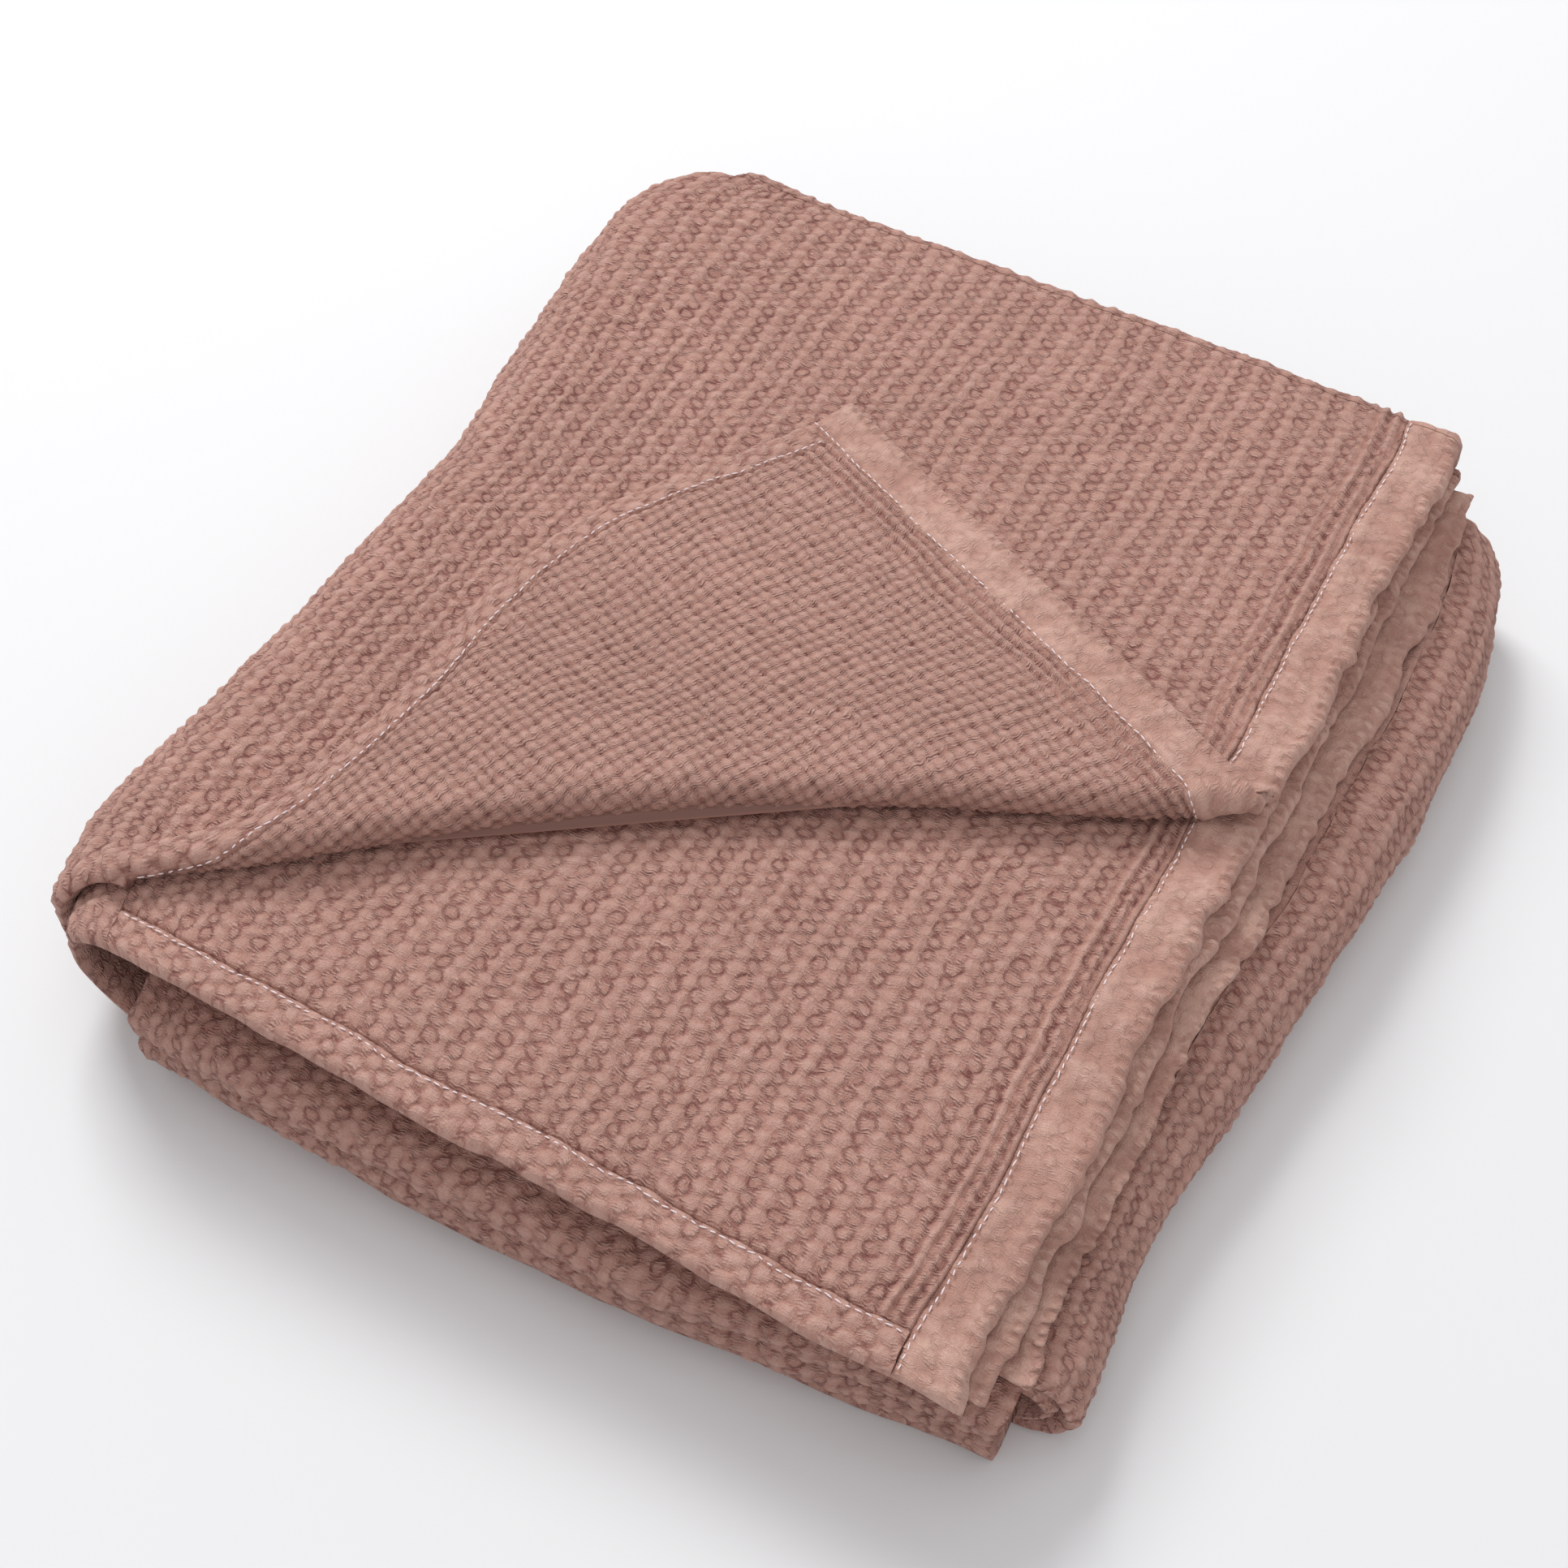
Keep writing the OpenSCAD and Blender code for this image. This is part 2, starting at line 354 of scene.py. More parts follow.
def hem_height(across, along, width, seed):
    """Wide hem: soft puckers across it and a crinkled outer edge; hem_relief adds a ghost of the weave."""
    puckers = drift(across * 0.42, along, 0.0052, seed) * 0.55
    puckers = puckers + drift(across * 0.6, along, 0.011, seed + 1) * 0.6
    lumps = drift(across, along, 0.0040, seed + 2) * 0.30
    frill = np.sin(along / 0.00078 + 2.5 * drift(across, along, 0.012, seed + 4))
    frill = frill * ramp(across, width - 0.0058, width - 0.0038) * (1 - ramp(across, width - 0.0020, width))
    pull = -0.5 * bowl((across - 0.0004) / 0.0035) * (0.6 + 0.4 * np.cos(along / 0.00057))
    return HEM_RELIEF * (puckers * 0.8 + lumps + 0.40 * frill + pull * 0.7)


def bubble_height(a, b, seed):
    """Narrow hem: big soft bubbles side by side."""
    one = puffs(a, b, 2, (0, 0), BUBBLE_REACH, seed)
    other = puffs(a, b, 2, (1, 0.5), BUBBLE_REACH, seed + 1)
    return BUBBLE_RELIEF * (np.maximum(one, other) - 0.5) + crinkle(a, b, seed)


# ---------------------------------------------------------------- cloth meshes


def spread(start, end, step):
    """Evenly spaced values from start to end, no further apart than step."""
    return np.linspace(start, end, max(2, math.ceil(abs(end - start) / step) + 1))


def joined(*runs):
    """Several runs of values, end to end, with each shared value kept once."""
    out = [runs[0]]
    for run in runs[1:]:
        out.append(run[1:])
    return np.concatenate(out)


def normals_of(p):
    n = np.cross(np.gradient(p, axis=1), np.gradient(p, axis=0))
    return n / np.maximum(np.linalg.norm(n, axis=-1, keepdims=True), 1e-12)


# Kinds of edge: the radius of the rounding, and the share of the full thickness that is left at the end.
FREE = (0.0043, 0.16)
SEAM = (0.0030, 0.60)
HEM_EDGE = (0.0040, 0.20)


def rounding(distance, kind):
    """The share of full thickness at a distance in from an edge of that kind."""
    radius, least = kind
    t = np.clip(distance / radius, 0, 1)
    return least + (1 - least) * np.sqrt(1 - (1 - t) ** 2)


def edge_profile(u, v, rims):
    """Rounds the edges. rims gives a kind for u0, u1, v0 and v1, or nothing for a joined edge."""
    share = np.ones_like(u)
    for side, kind in rims.items():
        away = {"u0": u - u.min(), "u1": u.max() - u, "v0": v - v.min(), "v1": v.max() - v}[side]
        share = share * rounding(away, kind)
    return share


def under_faces(rows, cols, step, first):
    """The underside of a grid with wider cells, whose outer cells still take every edge point."""
    rs = sorted(set(range(0, rows - 1, step)) | {rows - 1})
    cs = sorted(set(range(0, cols - 1, step)) | {cols - 1})
    faces = []
    for r0, r1 in zip(rs, rs[1:]):
        for c0, c1 in zip(cs, cs[1:]):
            ring = [(r0, c) for c in (range(c0, c1) if r0 == 0 else (c0,))]
            ring += [(r, c1) for r in (range(r0, r1) if c1 == cols - 1 else (r0,))]
            ring += [(r1, c) for c in (range(c1, c0, -1) if r1 == rows - 1 else (c1,))]
            ring += [(r, c0) for r in (range(r1, r0, -1) if c0 == 0 else (r1,))]
            faces.append([first + r * cols + c for r, c in reversed(ring)])
    return faces


def make_mesh(name, points, faces, weave, puff, hard, wrong_side=None):
    """A smooth mesh with its weave as UV map and its puff as attribute. faces is a list of arrays with one
    face a row, hard the pairs of points whose edges stay sharp, wrong_side the faces with material 1."""
    loops = np.concatenate([np.asarray(f).ravel() for f in faces]).astype(np.int64)
    totals = np.concatenate([np.full(len(f), len(f[0])) for f in faces if len(f)])
    side = np.zeros(len(totals), np.int32)
    if wrong_side is not None:
        side[wrong_side[0]:wrong_side[1]] = 1
    used, loops = np.unique(loops, return_inverse=True)
    loops = loops.ravel()
    points, weave, puff = points[used], weave[used], puff[used]
    mesh = bpy.data.meshes.new(name)
    mesh.vertices.add(len(points))
    mesh.vertices.foreach_set("co", points.astype(np.float32).ravel())
    mesh.loops.add(len(loops))
    mesh.loops.foreach_set("vertex_index", loops.astype(np.int32))
    mesh.polygons.add(len(totals))
    mesh.polygons.foreach_set("loop_start", np.concatenate([[0], np.cumsum(totals)[:-1]]).astype(np.int32))
    mesh.polygons.foreach_set("material_index", side)
    mesh.update(calc_edges=True)
    mesh.polygons.foreach_set("use_smooth", np.ones(len(totals), bool))
    if len(hard):
        pair = np.sort(np.searchsorted(used, np.asarray(hard)), axis=1)
        ends = np.zeros(len(mesh.edges) * 2, np.int32)
        mesh.edges.foreach_get("vertices", ends)
        ends = np.sort(ends.reshape(-1, 2), axis=1).astype(np.int64)
        key = len(points) + 1
        sharp = np.isin(ends[:, 0] * key + ends[:, 1], pair[:, 0] * key + pair[:, 1])
        mesh.edges.foreach_set("use_edge_sharp", sharp)
    uv = mesh.uv_layers.new(name="weave")
    uv.data.foreach_set("uv", weave[loops].astype(np.float32).ravel())
    mark = mesh.attributes.new("puff", "FLOAT", "POINT")
    mark.data.foreach_set("value", puff.astype(np.float32))
    piece = bpy.data.objects.new(name + "_cloth", mesh)
    bpy.context.scene.collection.objects.link(piece)
    return piece


def by_size(rings):
    """Faces sorted into one array for each number of corners."""
    groups = {}
    for ring in rings:
        groups.setdefault(len(ring), []).append(ring)
    return [np.array(groups[n]) for n in sorted(groups)]


def cloth_shell(name, us, vs, place, relief, rims, half=HALF, under=4, under_relief=None, inside=None):
    """A closed piece of cloth. place gives the middle surface of flat points u, v. relief gives the height of
    its upper side, how far up its puffs each point is, and its weave. inside gives the distance in from an
    outline of any shape, and then both sides are equally fine."""
    u, v = np.meshgrid(us, vs)
    rows, cols = u.shape
    middle = place(u, v)
    normal = normals_of(middle)
    share = edge_profile(u, v, rims)
    if inside is not None:
        depth, kinds = inside(u, v)
        for away, kind in kinds:
            share = share * rounding(away, kind)
    height, puff, weave = relief(u, v)
    fade = np.clip((share - 0.3) / 0.6, 0, 1)
    up = half * share + height * fade
    down, puff_down, weave_down = half * share, puff, weave
    if under_relief is not None:
        low_height, puff_down, weave_down = under_relief(u, v)
        down = down + low_height * fade
    points = np.concatenate([
        settle(middle + normal * up[..., None]).reshape(-1, 3),
        settle(middle - normal * down[..., None]).reshape(-1, 3),
    ])
    weave = np.concatenate([weave.reshape(-1, 2), weave_down.reshape(-1, 2)])
    puff = np.concatenate([puff.ravel(), puff_down.ravel()])
    index = np.arange(rows * cols).reshape(rows, cols)
    cell = np.stack([index[:-1, :-1], index[:-1, 1:], index[1:, 1:], index[1:, :-1]], axis=-1)
    first = rows * cols
    if inside is None:
        top = cell.reshape(-1, 4)
        rim = np.concatenate([index[0, :-1], index[:-1, -1], index[-1, :0:-1], index[:0:-1, 0]])
        nxt = np.roll(rim, -1)
        sides = np.repeat([k not in rims for k in ("v0", "u1", "v1", "u0")], [cols - 1, rows - 1] * 2)
        hard = np.stack([rim, nxt], axis=-1)[sides]
        walls = np.stack([rim + first, nxt + first, nxt, rim], axis=-1)
        below = by_size(under_faces(rows, cols, under, first))
        return make_mesh(name, points, [top, walls] + below, weave, puff, hard)
    keep = depth > 0
    keep = keep[:-1, :-1] & keep[:-1, 1:] & keep[1:, 1:] & keep[1:, :-1]
    top = cell[keep]
    edges = np.concatenate([top[:, [0, 1]], top[:, [1, 2]], top[:, [2, 3]], top[:, [3, 0]]])
    _, which, uses = np.unique(np.sort(edges, axis=1), axis=0, return_inverse=True, return_counts=True)
    rim = edges[uses[which.ravel()] == 1]
    walls = np.stack([rim[:, 0] + first, rim[:, 1] + first, rim[:, 1], rim[:, 0]], axis=-1)
    bottom = top[:, ::-1] + first
    return make_mesh(name, points, [top, bottom, walls], weave, puff, rim, (len(top), 2 * len(top)))


def cut_off(piece, point, way):
    """Cuts a closed piece with an upright plane, drops what lies in front of it and closes the cut."""
    work = bmesh.new()
    work.from_mesh(piece.data)
    geom = work.verts[:] + work.edges[:] + work.faces[:]
    cut = bmesh.ops.bisect_plane(work, geom=geom, plane_co=point, plane_no=way, clear_outer=True)
    edges = [e for e in cut["geom_cut"] if isinstance(e, bmesh.types.BMEdge)]
    bmesh.ops.edgeloop_fill(work, edges=edges)
    bmesh.ops.recalc_face_normals(work, faces=work.faces[:])
    work.to_mesh(piece.data)
    work.free()


# ---------------------------------------------------------------- reliefs of the pieces


PALER = 0.06
COVERED = 0.6


def as_puff(height, more=0.0):
    """How far up from pit to crown a height is, from 0 to 1."""
    s = sizes()
    # The finishes turn this share into colour, so it also paints light on the crowns and shade in the pits.
    return np.clip((height + s.pit) / (s.pit + s.puff) + more, 0, 1)


def gathered(height, away, along, seed, fade):
    """The weave drawn into ribs near a seam. fade is where the ribs start to fade and where they end."""
    share = 1 - ramp(away, *fade)
    return height * (1 - share * 0.75) + rib_height(np.abs(away), along, seed + 20) * share


def face_relief(seed, seam_x=None, stronger=None, turn_v=None):
    """Relief of the face side, with gathered ribs beside a seam at seam_x. turn_v is the bend, way and
    radius of a turn that the cloth takes along v."""

    def relief(u, v):
        a, b = weave_at(u, v if turn_v is None else unrolled(v, *turn_v), seed)
        height = face_height(a, b, seed)
        if stronger is not None:
            height = height * stronger(u, v)
        if seam_x is not None:
            height = gathered(height, np.abs(seam_x - u), v, seed, (0.009, 0.021))
        return height, as_puff(height), np.stack([a, b], axis=-1)

    return relief


def hem_relief(seed, width):
    """Relief of a wide hem, whose u runs from the seam out to the folded edge."""

    def relief(u, v):
        across = u - u.min()
        height = hem_height(across, v, width, seed)
        a, b = weave_at(across, v, seed)
        height = height + 0.45 * face_height(a, b, seed)
        return height, as_puff(height * 1.1, PALER), np.stack([a, b], axis=-1)

    return relief


def side_hem_relief(seed):
    """Relief of a narrow hem, whose v runs across it."""

    def relief(u, v):
        a, b = weave_at(u, v - v.min() + 0.0011, seed, 1.12)
        height = bubble_height(a, b, seed)
        return height, as_puff(height, PALER), np.stack([a, b], axis=-1)

    return relief


def plain_relief(seed):
    """Relief of cloth that is covered: the same weave, a little flatter."""
    return face_relief(seed, stronger=lambda u, v: COVERED)


# ---------------------------------------------------------------- paths of the folds


def turn_path(s, flat_end, z_from, z_to, outward):
    """A run along an axis that turns half round at flat_end, from one level to another.
    Returns the place along the axis and the height, for the distance s along the cloth."""
    radius = abs(z_from - z_to) / 2
    centre = (z_from + z_to) / 2
    past = (s - flat_end) * outward
    angle = np.clip(past / radius, 0, math.pi)
    after = np.clip(past - math.pi * radius, 0, None)
    along = np.where(past < 0, s, flat_end + outward * (radius * np.sin(angle) - after))
    level = centre + (z_from - centre) * np.cos(angle)
    return along, level


def stack3(x, y, z):
    return np.stack(np.broadcast_arrays(x, y, z), axis=-1).astype(float)


def turned(bend, z_from, z_to, way, sideways=False):
    """A leaf that lies flat as far as bend, then turns half round and runs back at the other level. It turns
    along v, or along u when sideways."""

    def place(u, v):
        if sideways:
            x, z = turn_path(u, bend, z_from, z_to, way)
            return stack3(x, v, z)
        y, z = turn_path(v, bend, z_from, z_to, way)
        return stack3(u, y, z)

    return place


CREASE_BOW = [(-0.02, 0.0), (0.037, 0.001), (0.090, 0.0075), (0.170, 0.0145), (0.223, 0.0145),
              (0.277, 0.0120), (0.330, 0.0055), (0.383, 0.0), (0.44, 0.0)]


def crease_bow(along, back):
    """How far back the soft crease bows from a straight line, dying out away from it."""
    return smooth_line(along, CREASE_BOW) * (1 - ramp(back, 0.0, 0.11))


def bow_leaf(piece):
    """Bows the cut edge of a finished piece that lies behind the crease."""
    co = np.zeros(len(piece.data.vertices) * 3, np.float32)
    piece.data.vertices.foreach_get("co", co)
    co = co.reshape(-1, 3).astype(float)
    gap = co - CREASE_AT
    co += CREASE_BACK * crease_bow(gap @ CREASE_WAY, gap @ CREASE_BACK)[:, None]
    piece.data.vertices.foreach_set("co", co.astype(np.float32).ravel())


def unrolled(x, bend, way, radius):
    """Distance along the outer side of a cloth that turns, so that a pattern keeps its size there."""
    return x + way * np.clip((x - bend) * way, 0, math.pi * radius) * HALF / radius


def crease_place(along, out):
    """The turned corner: out is the flat distance from where the cloth begins to bend. The roll gets
    smaller towards the left end of the crease."""
    angle = np.clip(out / TURN_R, 0, math.pi)
    roll = TURN_R * (0.40 + 0.60 * ramp(along, -0.012, 0.075))
    past = np.clip(out - CORNER_TURN, 0, None)
    back = past - roll * np.sin(angle) + crease_bow(along, past)
    swell = 0.0012 * ramp(past, 0.02, 0.09) * (0.5 + 0.5 * drift(along, out, 0.06, 31))
    up = -TURN_R + roll * (1 - np.cos(angle)) + swell
    spot = CREASE_AT + along[..., None] * CREASE_WAY + back[..., None] * CREASE_BACK
    return spot + up[..., None] * np.array([0.0, 0.0, 1.0])


# ---------------------------------------------------------------- the turned corner, flat

# The corner is described in crease coordinates: the distance along the crease, and out across the cloth
# from where it starts to bend.
CORNER_TIP = np.array([0.279, 0.203 + CORNER_TURN])
END_EDGE_FOOT = np.array([CREASE_LEN - 0.004, 0.0])
END_WAY = (CORNER_TIP - END_EDGE_FOOT) / np.linalg.norm(CORNER_TIP - END_EDGE_FOOT)
END_OUT = np.array([END_WAY[1], -END_WAY[0]])
END_HEM = TOP_RIGHT - TOP_SEAM
SIDE_HEM = high("second_leaf_side_hem", 1) - low("second_leaf_side_hem", 1)
END_SEAM_FOOT = END_EDGE_FOOT - END_OUT * END_HEM
END_LENGTH = float(np.linalg.norm(CORNER_TIP - END_EDGE_FOOT))

# The outer edge of the corner's narrow hem, from the end hem down to the crease.
SIDE_EDGE = np.array([
    [0.2604, 0.1913], [0.2300, 0.1775], [0.1930, 0.1609], [0.1596, 0.1400],
    [0.1282, 0.1062], [0.1050, 0.0740], [0.0840, 0.0455], [0.0670, 0.0280],
    [0.0508, 0.0150], [0.0340, 0.0080], [0.0150, 0.0055], [-0.0160, 0.0050],
]) + np.array([0, CORNER_TURN])


def curve_run(points, step):
    """Points an even step apart on a soft curve through the given ones, and the way it runs there."""
    far = np.concatenate([[0], np.cumsum(np.linalg.norm(np.diff(points, axis=0), axis=1))])
    s = spread(0, far[-1], step)
    run = np.stack([smooth_line(s, list(zip(far, points[:, k]))) for k in (0, 1)], axis=-1)
    way = np.gradient(run, axis=0)
    return run, way / np.linalg.norm(way, axis=1, keepdims=True), s


def side_edge_run():
    """The edge of the corner's narrow hem, with the way that points into the cloth."""
    run, way, s = curve_run(SIDE_EDGE, HEM_STEP)
    return run, np.stack([-way[:, 1], way[:, 0]], axis=-1), s


def side_hem_inward(along, out, run, inward):
    """Distance in from the narrow hem's outer edge, measured to the nearest point of it."""
    flat = np.stack([along.ravel(), out.ravel()], axis=-1)
    coarse = slice(0, len(run), 4)
    best = np.full(len(flat), 1e9)
    deep = np.zeros(len(flat))
    for at, into in zip(run[coarse], inward[coarse]):
        gap = flat - at
        far = (gap * gap).sum(axis=1)
        closer = far < best
        best[closer] = far[closer]
        deep[closer] = gap[closer] @ into
    return deep.reshape(along.shape)


# ---------------------------------------------------------------- finishes


def node(tree, kind, inputs=None, **settings):
    """Adds a node, sets its settings and wires or sets its inputs by place or name."""
    made = tree.nodes.new(kind)
    for name, value in settings.items():
        setattr(made, name, value)
    for name, value in (inputs or {}).items():
        socket = made.inputs[name]
        if isinstance(value, bpy.types.NodeSocket):
            tree.links.new(value, socket)
        else:
            socket.default_value = value
    return made


def maths(tree, operation, first, second=0.0, third=0.0):
    return node(tree, "ShaderNodeMath", {0: first, 1: second, 2: third}, operation=operation).outputs[0]


def band(tree, value, start, end):
    """0 to 1 as value goes from start to end, smoothly."""
    given = {"Value": value, "From Min": start, "From Max": end}
    return node(tree, "ShaderNodeMapRange", given, interpolation_type="SMOOTHSTEP").outputs["Result"]


def tinted(tree, first, second):
    """Two colours multiplied."""
    given = {0: 1.0, 6: first, 7: second}
    return node(tree, "ShaderNodeMix", given, data_type="RGBA", blend_type="MULTIPLY").outputs[2]


def vector(tree, operation, first, second):
    return node(tree, "ShaderNodeVectorMath", {0: first, 1: second}, operation=operation).outputs[0]


def rgba(values):
    return (*values, 1.0)


def yarn_waves(tree, across, pitch, wobble):
    """Fine rounded yarns side by side, from 0 to 1."""
    turned = maths(tree, "MULTIPLY_ADD", across, 2 * math.pi / pitch, wobble)
    return maths(tree, "MULTIPLY_ADD", maths(tree, "SINE", turned), 0.5, 0.5)


def from_centre(tree, a, b, pitch, shift, reach):
    """Distance from the nearest puff of a lattice, where 1 is its edge."""
    s = sizes()
    parts = []
    for value, step, start, scale in (
        (a, pitch, shift[0], s.column / reach[0]),
        (b, 1, shift[1], s.row / reach[1]),
    ):
        turned = maths(tree, "MULTIPLY_ADD", value, 1 / step, 0.5 - start / step)
        near = maths(tree, "SUBTRACT", maths(tree, "FRACT", turned), 0.5)
        near = maths(tree, "MULTIPLY", near, step * scale)
        parts.append(maths(tree, "MULTIPLY", near, near))
    return maths(tree, "SQRT", maths(tree, "ADD", *parts))


def noise(tree, at, scale, detail=2.0, rough=0.6):
    given = {"Vector": at, "Scale": scale, "Detail": detail, "Roughness": rough}
    return node(tree, "ShaderNodeTexNoise", given)


def swing(tree, value, middle, reach):
    """A noise value made to swing from -reach to reach."""
    return maths(tree, "MULTIPLY_ADD", value, 2 * reach, -2 * reach * middle)


def cloth_finish(name, crown, body, pit, weave="face", contrast=1.0):
    """Washed cotton: puffs with painted light on their crowns and painted shade in the dark lines and pits
    between them, fine yarns, flecks and soft clouds of colour.
    """
    made = bpy.data.materials.new(name)
    made.use_nodes = True
    tree = made.node_tree
    tree.nodes.clear()
    mark = node(tree, "ShaderNodeAttribute", attribute_name="puff", attribute_type="GEOMETRY")
    uv = node(tree, "ShaderNodeUVMap", uv_map="weave").outputs[0]
    bend = noise(tree, uv, 1.0, 1.0, 0.5)
    bent = vector(tree, "SUBTRACT", bend.outputs["Color"], (0.5, 0.5, 0.5))
    bent = vector(tree, "MULTIPLY", bent, (0.75, 0.55, 0.0))
    part = node(tree, "ShaderNodeSeparateXYZ", {0: vector(tree, "ADD", uv, bent)})
    a, b = part.outputs[0], part.outputs[1]
    fibre = noise(tree, uv, 6.0, 4.0, 0.7).outputs[0]
    speck = noise(tree, uv, 17.0, 2.0, 0.8).outputs[0]
    cloud = noise(tree, uv, 0.09, 3.0, 0.6).outputs[0]
    patch = noise(tree, uv, 0.75, 2.0).outputs[0]
    folds = noise(tree, uv, 2.1, 3.0, 0.62).outputs[0]
    wobble = maths(tree, "MULTIPLY", fibre, 6.0)
    grain = maths(tree, "MULTIPLY", yarn_waves(tree, a, 0.150, wobble), yarn_waves(tree, b, 0.118, wobble))
    if weave == "reverse":
        r = from_centre(tree, a, b, 1, (0, 0), BUMP_REACH)
        crowns = maths(tree, "SUBTRACT", 1.0, band(tree, r, 0.25, 1.35))
        ring = maths(tree, "MULTIPLY", band(tree, r, 1.05, 1.45), 0.8)
    else:
        q = from_centre(tree, a, b, 2, (1, 0.5), PAD_REACH)
        pad = maths(tree, "SUBTRACT", 1.0, band(tree, q, 0.20, 1.60))
        r = from_centre(tree, a, b, 2, (0, 0), BUTTON_REACH)
        button = maths(tree, "SUBTRACT", 1.0, band(tree, r, 0.20, 1.0))
        crowns = maths(tree, "MAXIMUM", pad, maths(tree, "MULTIPLY", button, 0.8))
        inner = band(tree, r, 0.66, 0.98)
        ring = maths(tree, "MULTIPLY", inner, maths(tree, "SUBTRACT", 1.0, band(tree, r, 1.00, 1.45)))
    ring = maths(tree, "MULTIPLY", ring, band(tree, patch, 0.34, 0.60))
    float_yarn = yarn_waves(tree, b, 0.185, maths(tree, "MULTIPLY", patch, 16.0))
    open_part = maths(tree, "SUBTRACT", 1.0, maths(tree, "MAXIMUM", crowns, ring))
    lines = maths(tree, "MULTIPLY", maths(tree, "SUBTRACT", float_yarn, 0.40), open_part)
    lines = maths(tree, "MULTIPLY", lines, band(tree, folds, 0.42, 0.56))
    # The ramp input: the puff attribute and the crowns lift it, painted light on the crowns and painted shade
    # in the pits; the other terms are listed below.
    tone_with_painted_shade = maths(tree, "MULTIPLY_ADD", mark.outputs["Fac"], 0.42, 0.19)
    for how, share in (
        ("ADD", maths(tree, "MULTIPLY_ADD", crowns, 0.10 * contrast, 0.11)),
        # The rings are grooves round the buttons; taking them off the ramp input darkens them as painted
        # shade.
        ("SUBTRACT", maths(tree, "MULTIPLY", ring, 0.27 * contrast)),
        ("ADD", maths(tree, "MULTIPLY", lines, 0.95 * contrast)),
        # The folds noise also raises the bump, so lightening the colour with it paints shade on the crinkles.
        ("ADD", swing(tree, folds, 0.5, 0.30)),
        ("ADD", swing(tree, fibre, 0.5, 0.20)),
        ("ADD", swing(tree, grain, 0.3, 0.06)),
    ):
        tone_with_painted_shade = maths(tree, how, tone_with_painted_shade, share)
    # The ramp runs from the pit colour, painted shade, through the body colour to the crown colour, painted
    # light.
    tone = node(tree, "ShaderNodeValToRGB", {0: tone_with_painted_shade})
    stops = tone.color_ramp.elements
    stops[0].position, stops[0].color = 0.02, rgba(pit)
    stops[1].position, stops[1].color = 0.86, rgba(crown)
    stops.new(0.42).color = rgba(body)
    light = maths(tree, "ADD", 1.0, swing(tree, speck, 0.5, 0.16))
    light = maths(tree, "ADD", light, swing(tree, cloud, 0.5, 0.12))
    grey = node(tree, "ShaderNodeCombineXYZ", {0: light, 1: light, 2: light})
    height = maths(tree, "MULTIPLY", crowns, 0.00025 * contrast)
    for how, part, rise in (
        ("SUBTRACT", ring, 0.00045 * contrast),
        ("ADD", lines, 0.00080 * contrast),
        ("ADD", folds, 0.0012 * contrast),
        ("ADD", grain, 0.00014),
        ("ADD", fibre, 0.00026),
    ):
        height = maths(tree, how, height, maths(tree, "MULTIPLY", part, rise))
    bump = node(tree, "ShaderNodeBump", {"Height": height, "Distance": 1.0, "Strength": 1.0})
    shader = node(tree, "ShaderNodeBsdfPrincipled", {
        "Base Color": tinted(tree, tone.outputs[0], grey.outputs[0]),
        "Normal": bump.outputs[0],
        "Roughness": 0.93,
        "Specular IOR Level": 0.20,
        "Sheen Weight": 0.10,
        "Sheen Roughness": 0.50,
        "Sheen Tint": (1.0, 0.84, 0.80, 1.0),
    })
    node(tree, "ShaderNodeOutputMaterial", {0: shader.outputs[0]})
    return made


def thread_finish(name):
    made = bpy.data.materials.new(name)
    made.use_nodes = True
    shader = made.node_tree.nodes["Principled BSDF"]
    shader.inputs["Base Color"].default_value = rgba(colours().thread)
    shader.inputs["Roughness"].default_value = 0.7
    shader.inputs["Sheen Weight"].default_value = 0.2
    return made


def finish_named(name):
    """The finish for that slot, made the first time it is asked for."""
    found = bpy.data.materials.get("woven_" + name)
    if found:
        return found
    c = colours()
    if name == "stitch_thread":
        return thread_finish("woven_" + name)
    # Each look gives the crown, body and pit stops, which carry painted light and painted shade, then the
    # weave and the contrast.
    looks = {
        "rose_cloth": (c.crown, c.body, c.pit, "face", 1.0),
        "rose_cloth_reverse": (c.crown, c.body, c.pit, "reverse", 1.0),
        "side_hem_cloth": (c.crown, c.body, c.pit, "face", 0.8),
        "end_hem_cloth": (c.hem_crown, c.hem_body, c.body, "face", 0.55),
    }
    return cloth_finish("woven_" + name, *looks[name])


def dress(piece, *finishes):
    for name in finishes:
        piece.data.materials.append(finish_named(name))
    return piece


def settle_on(piece, nodes, body="stack"):
    """Puts a finished piece on its body, in place of its CAD nodes."""
    if body:
        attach(piece, body)
    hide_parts(*nodes)
    return piece


def laid(piece, name, finish="rose_cloth"):
    """Dresses a piece of the stack and puts it in place of the CAD node of that name."""
    return settle_on(dress(piece, finish), [name])


# ---------------------------------------------------------------- leaves


def flat_at(level):
    """A leaf that lies flat at that level."""

    def place(u, v):
        return stack3(u, v, level)

    return place


def on_cloth(place, u, v, lift):
    """Points that lift above the middle of the cloth. Either u or v can be one number for all of them."""
    u, v = np.broadcast_arrays(u, v)
    e = 1e-4
    across = place(u + e, v) - place(u - e, v)
    along = place(u, v + e) - place(u, v - e)
    n = np.cross(across, along)
    n = n / np.linalg.norm(n, axis=-1, keepdims=True)
    return settle(place(u, v) + n * lift)


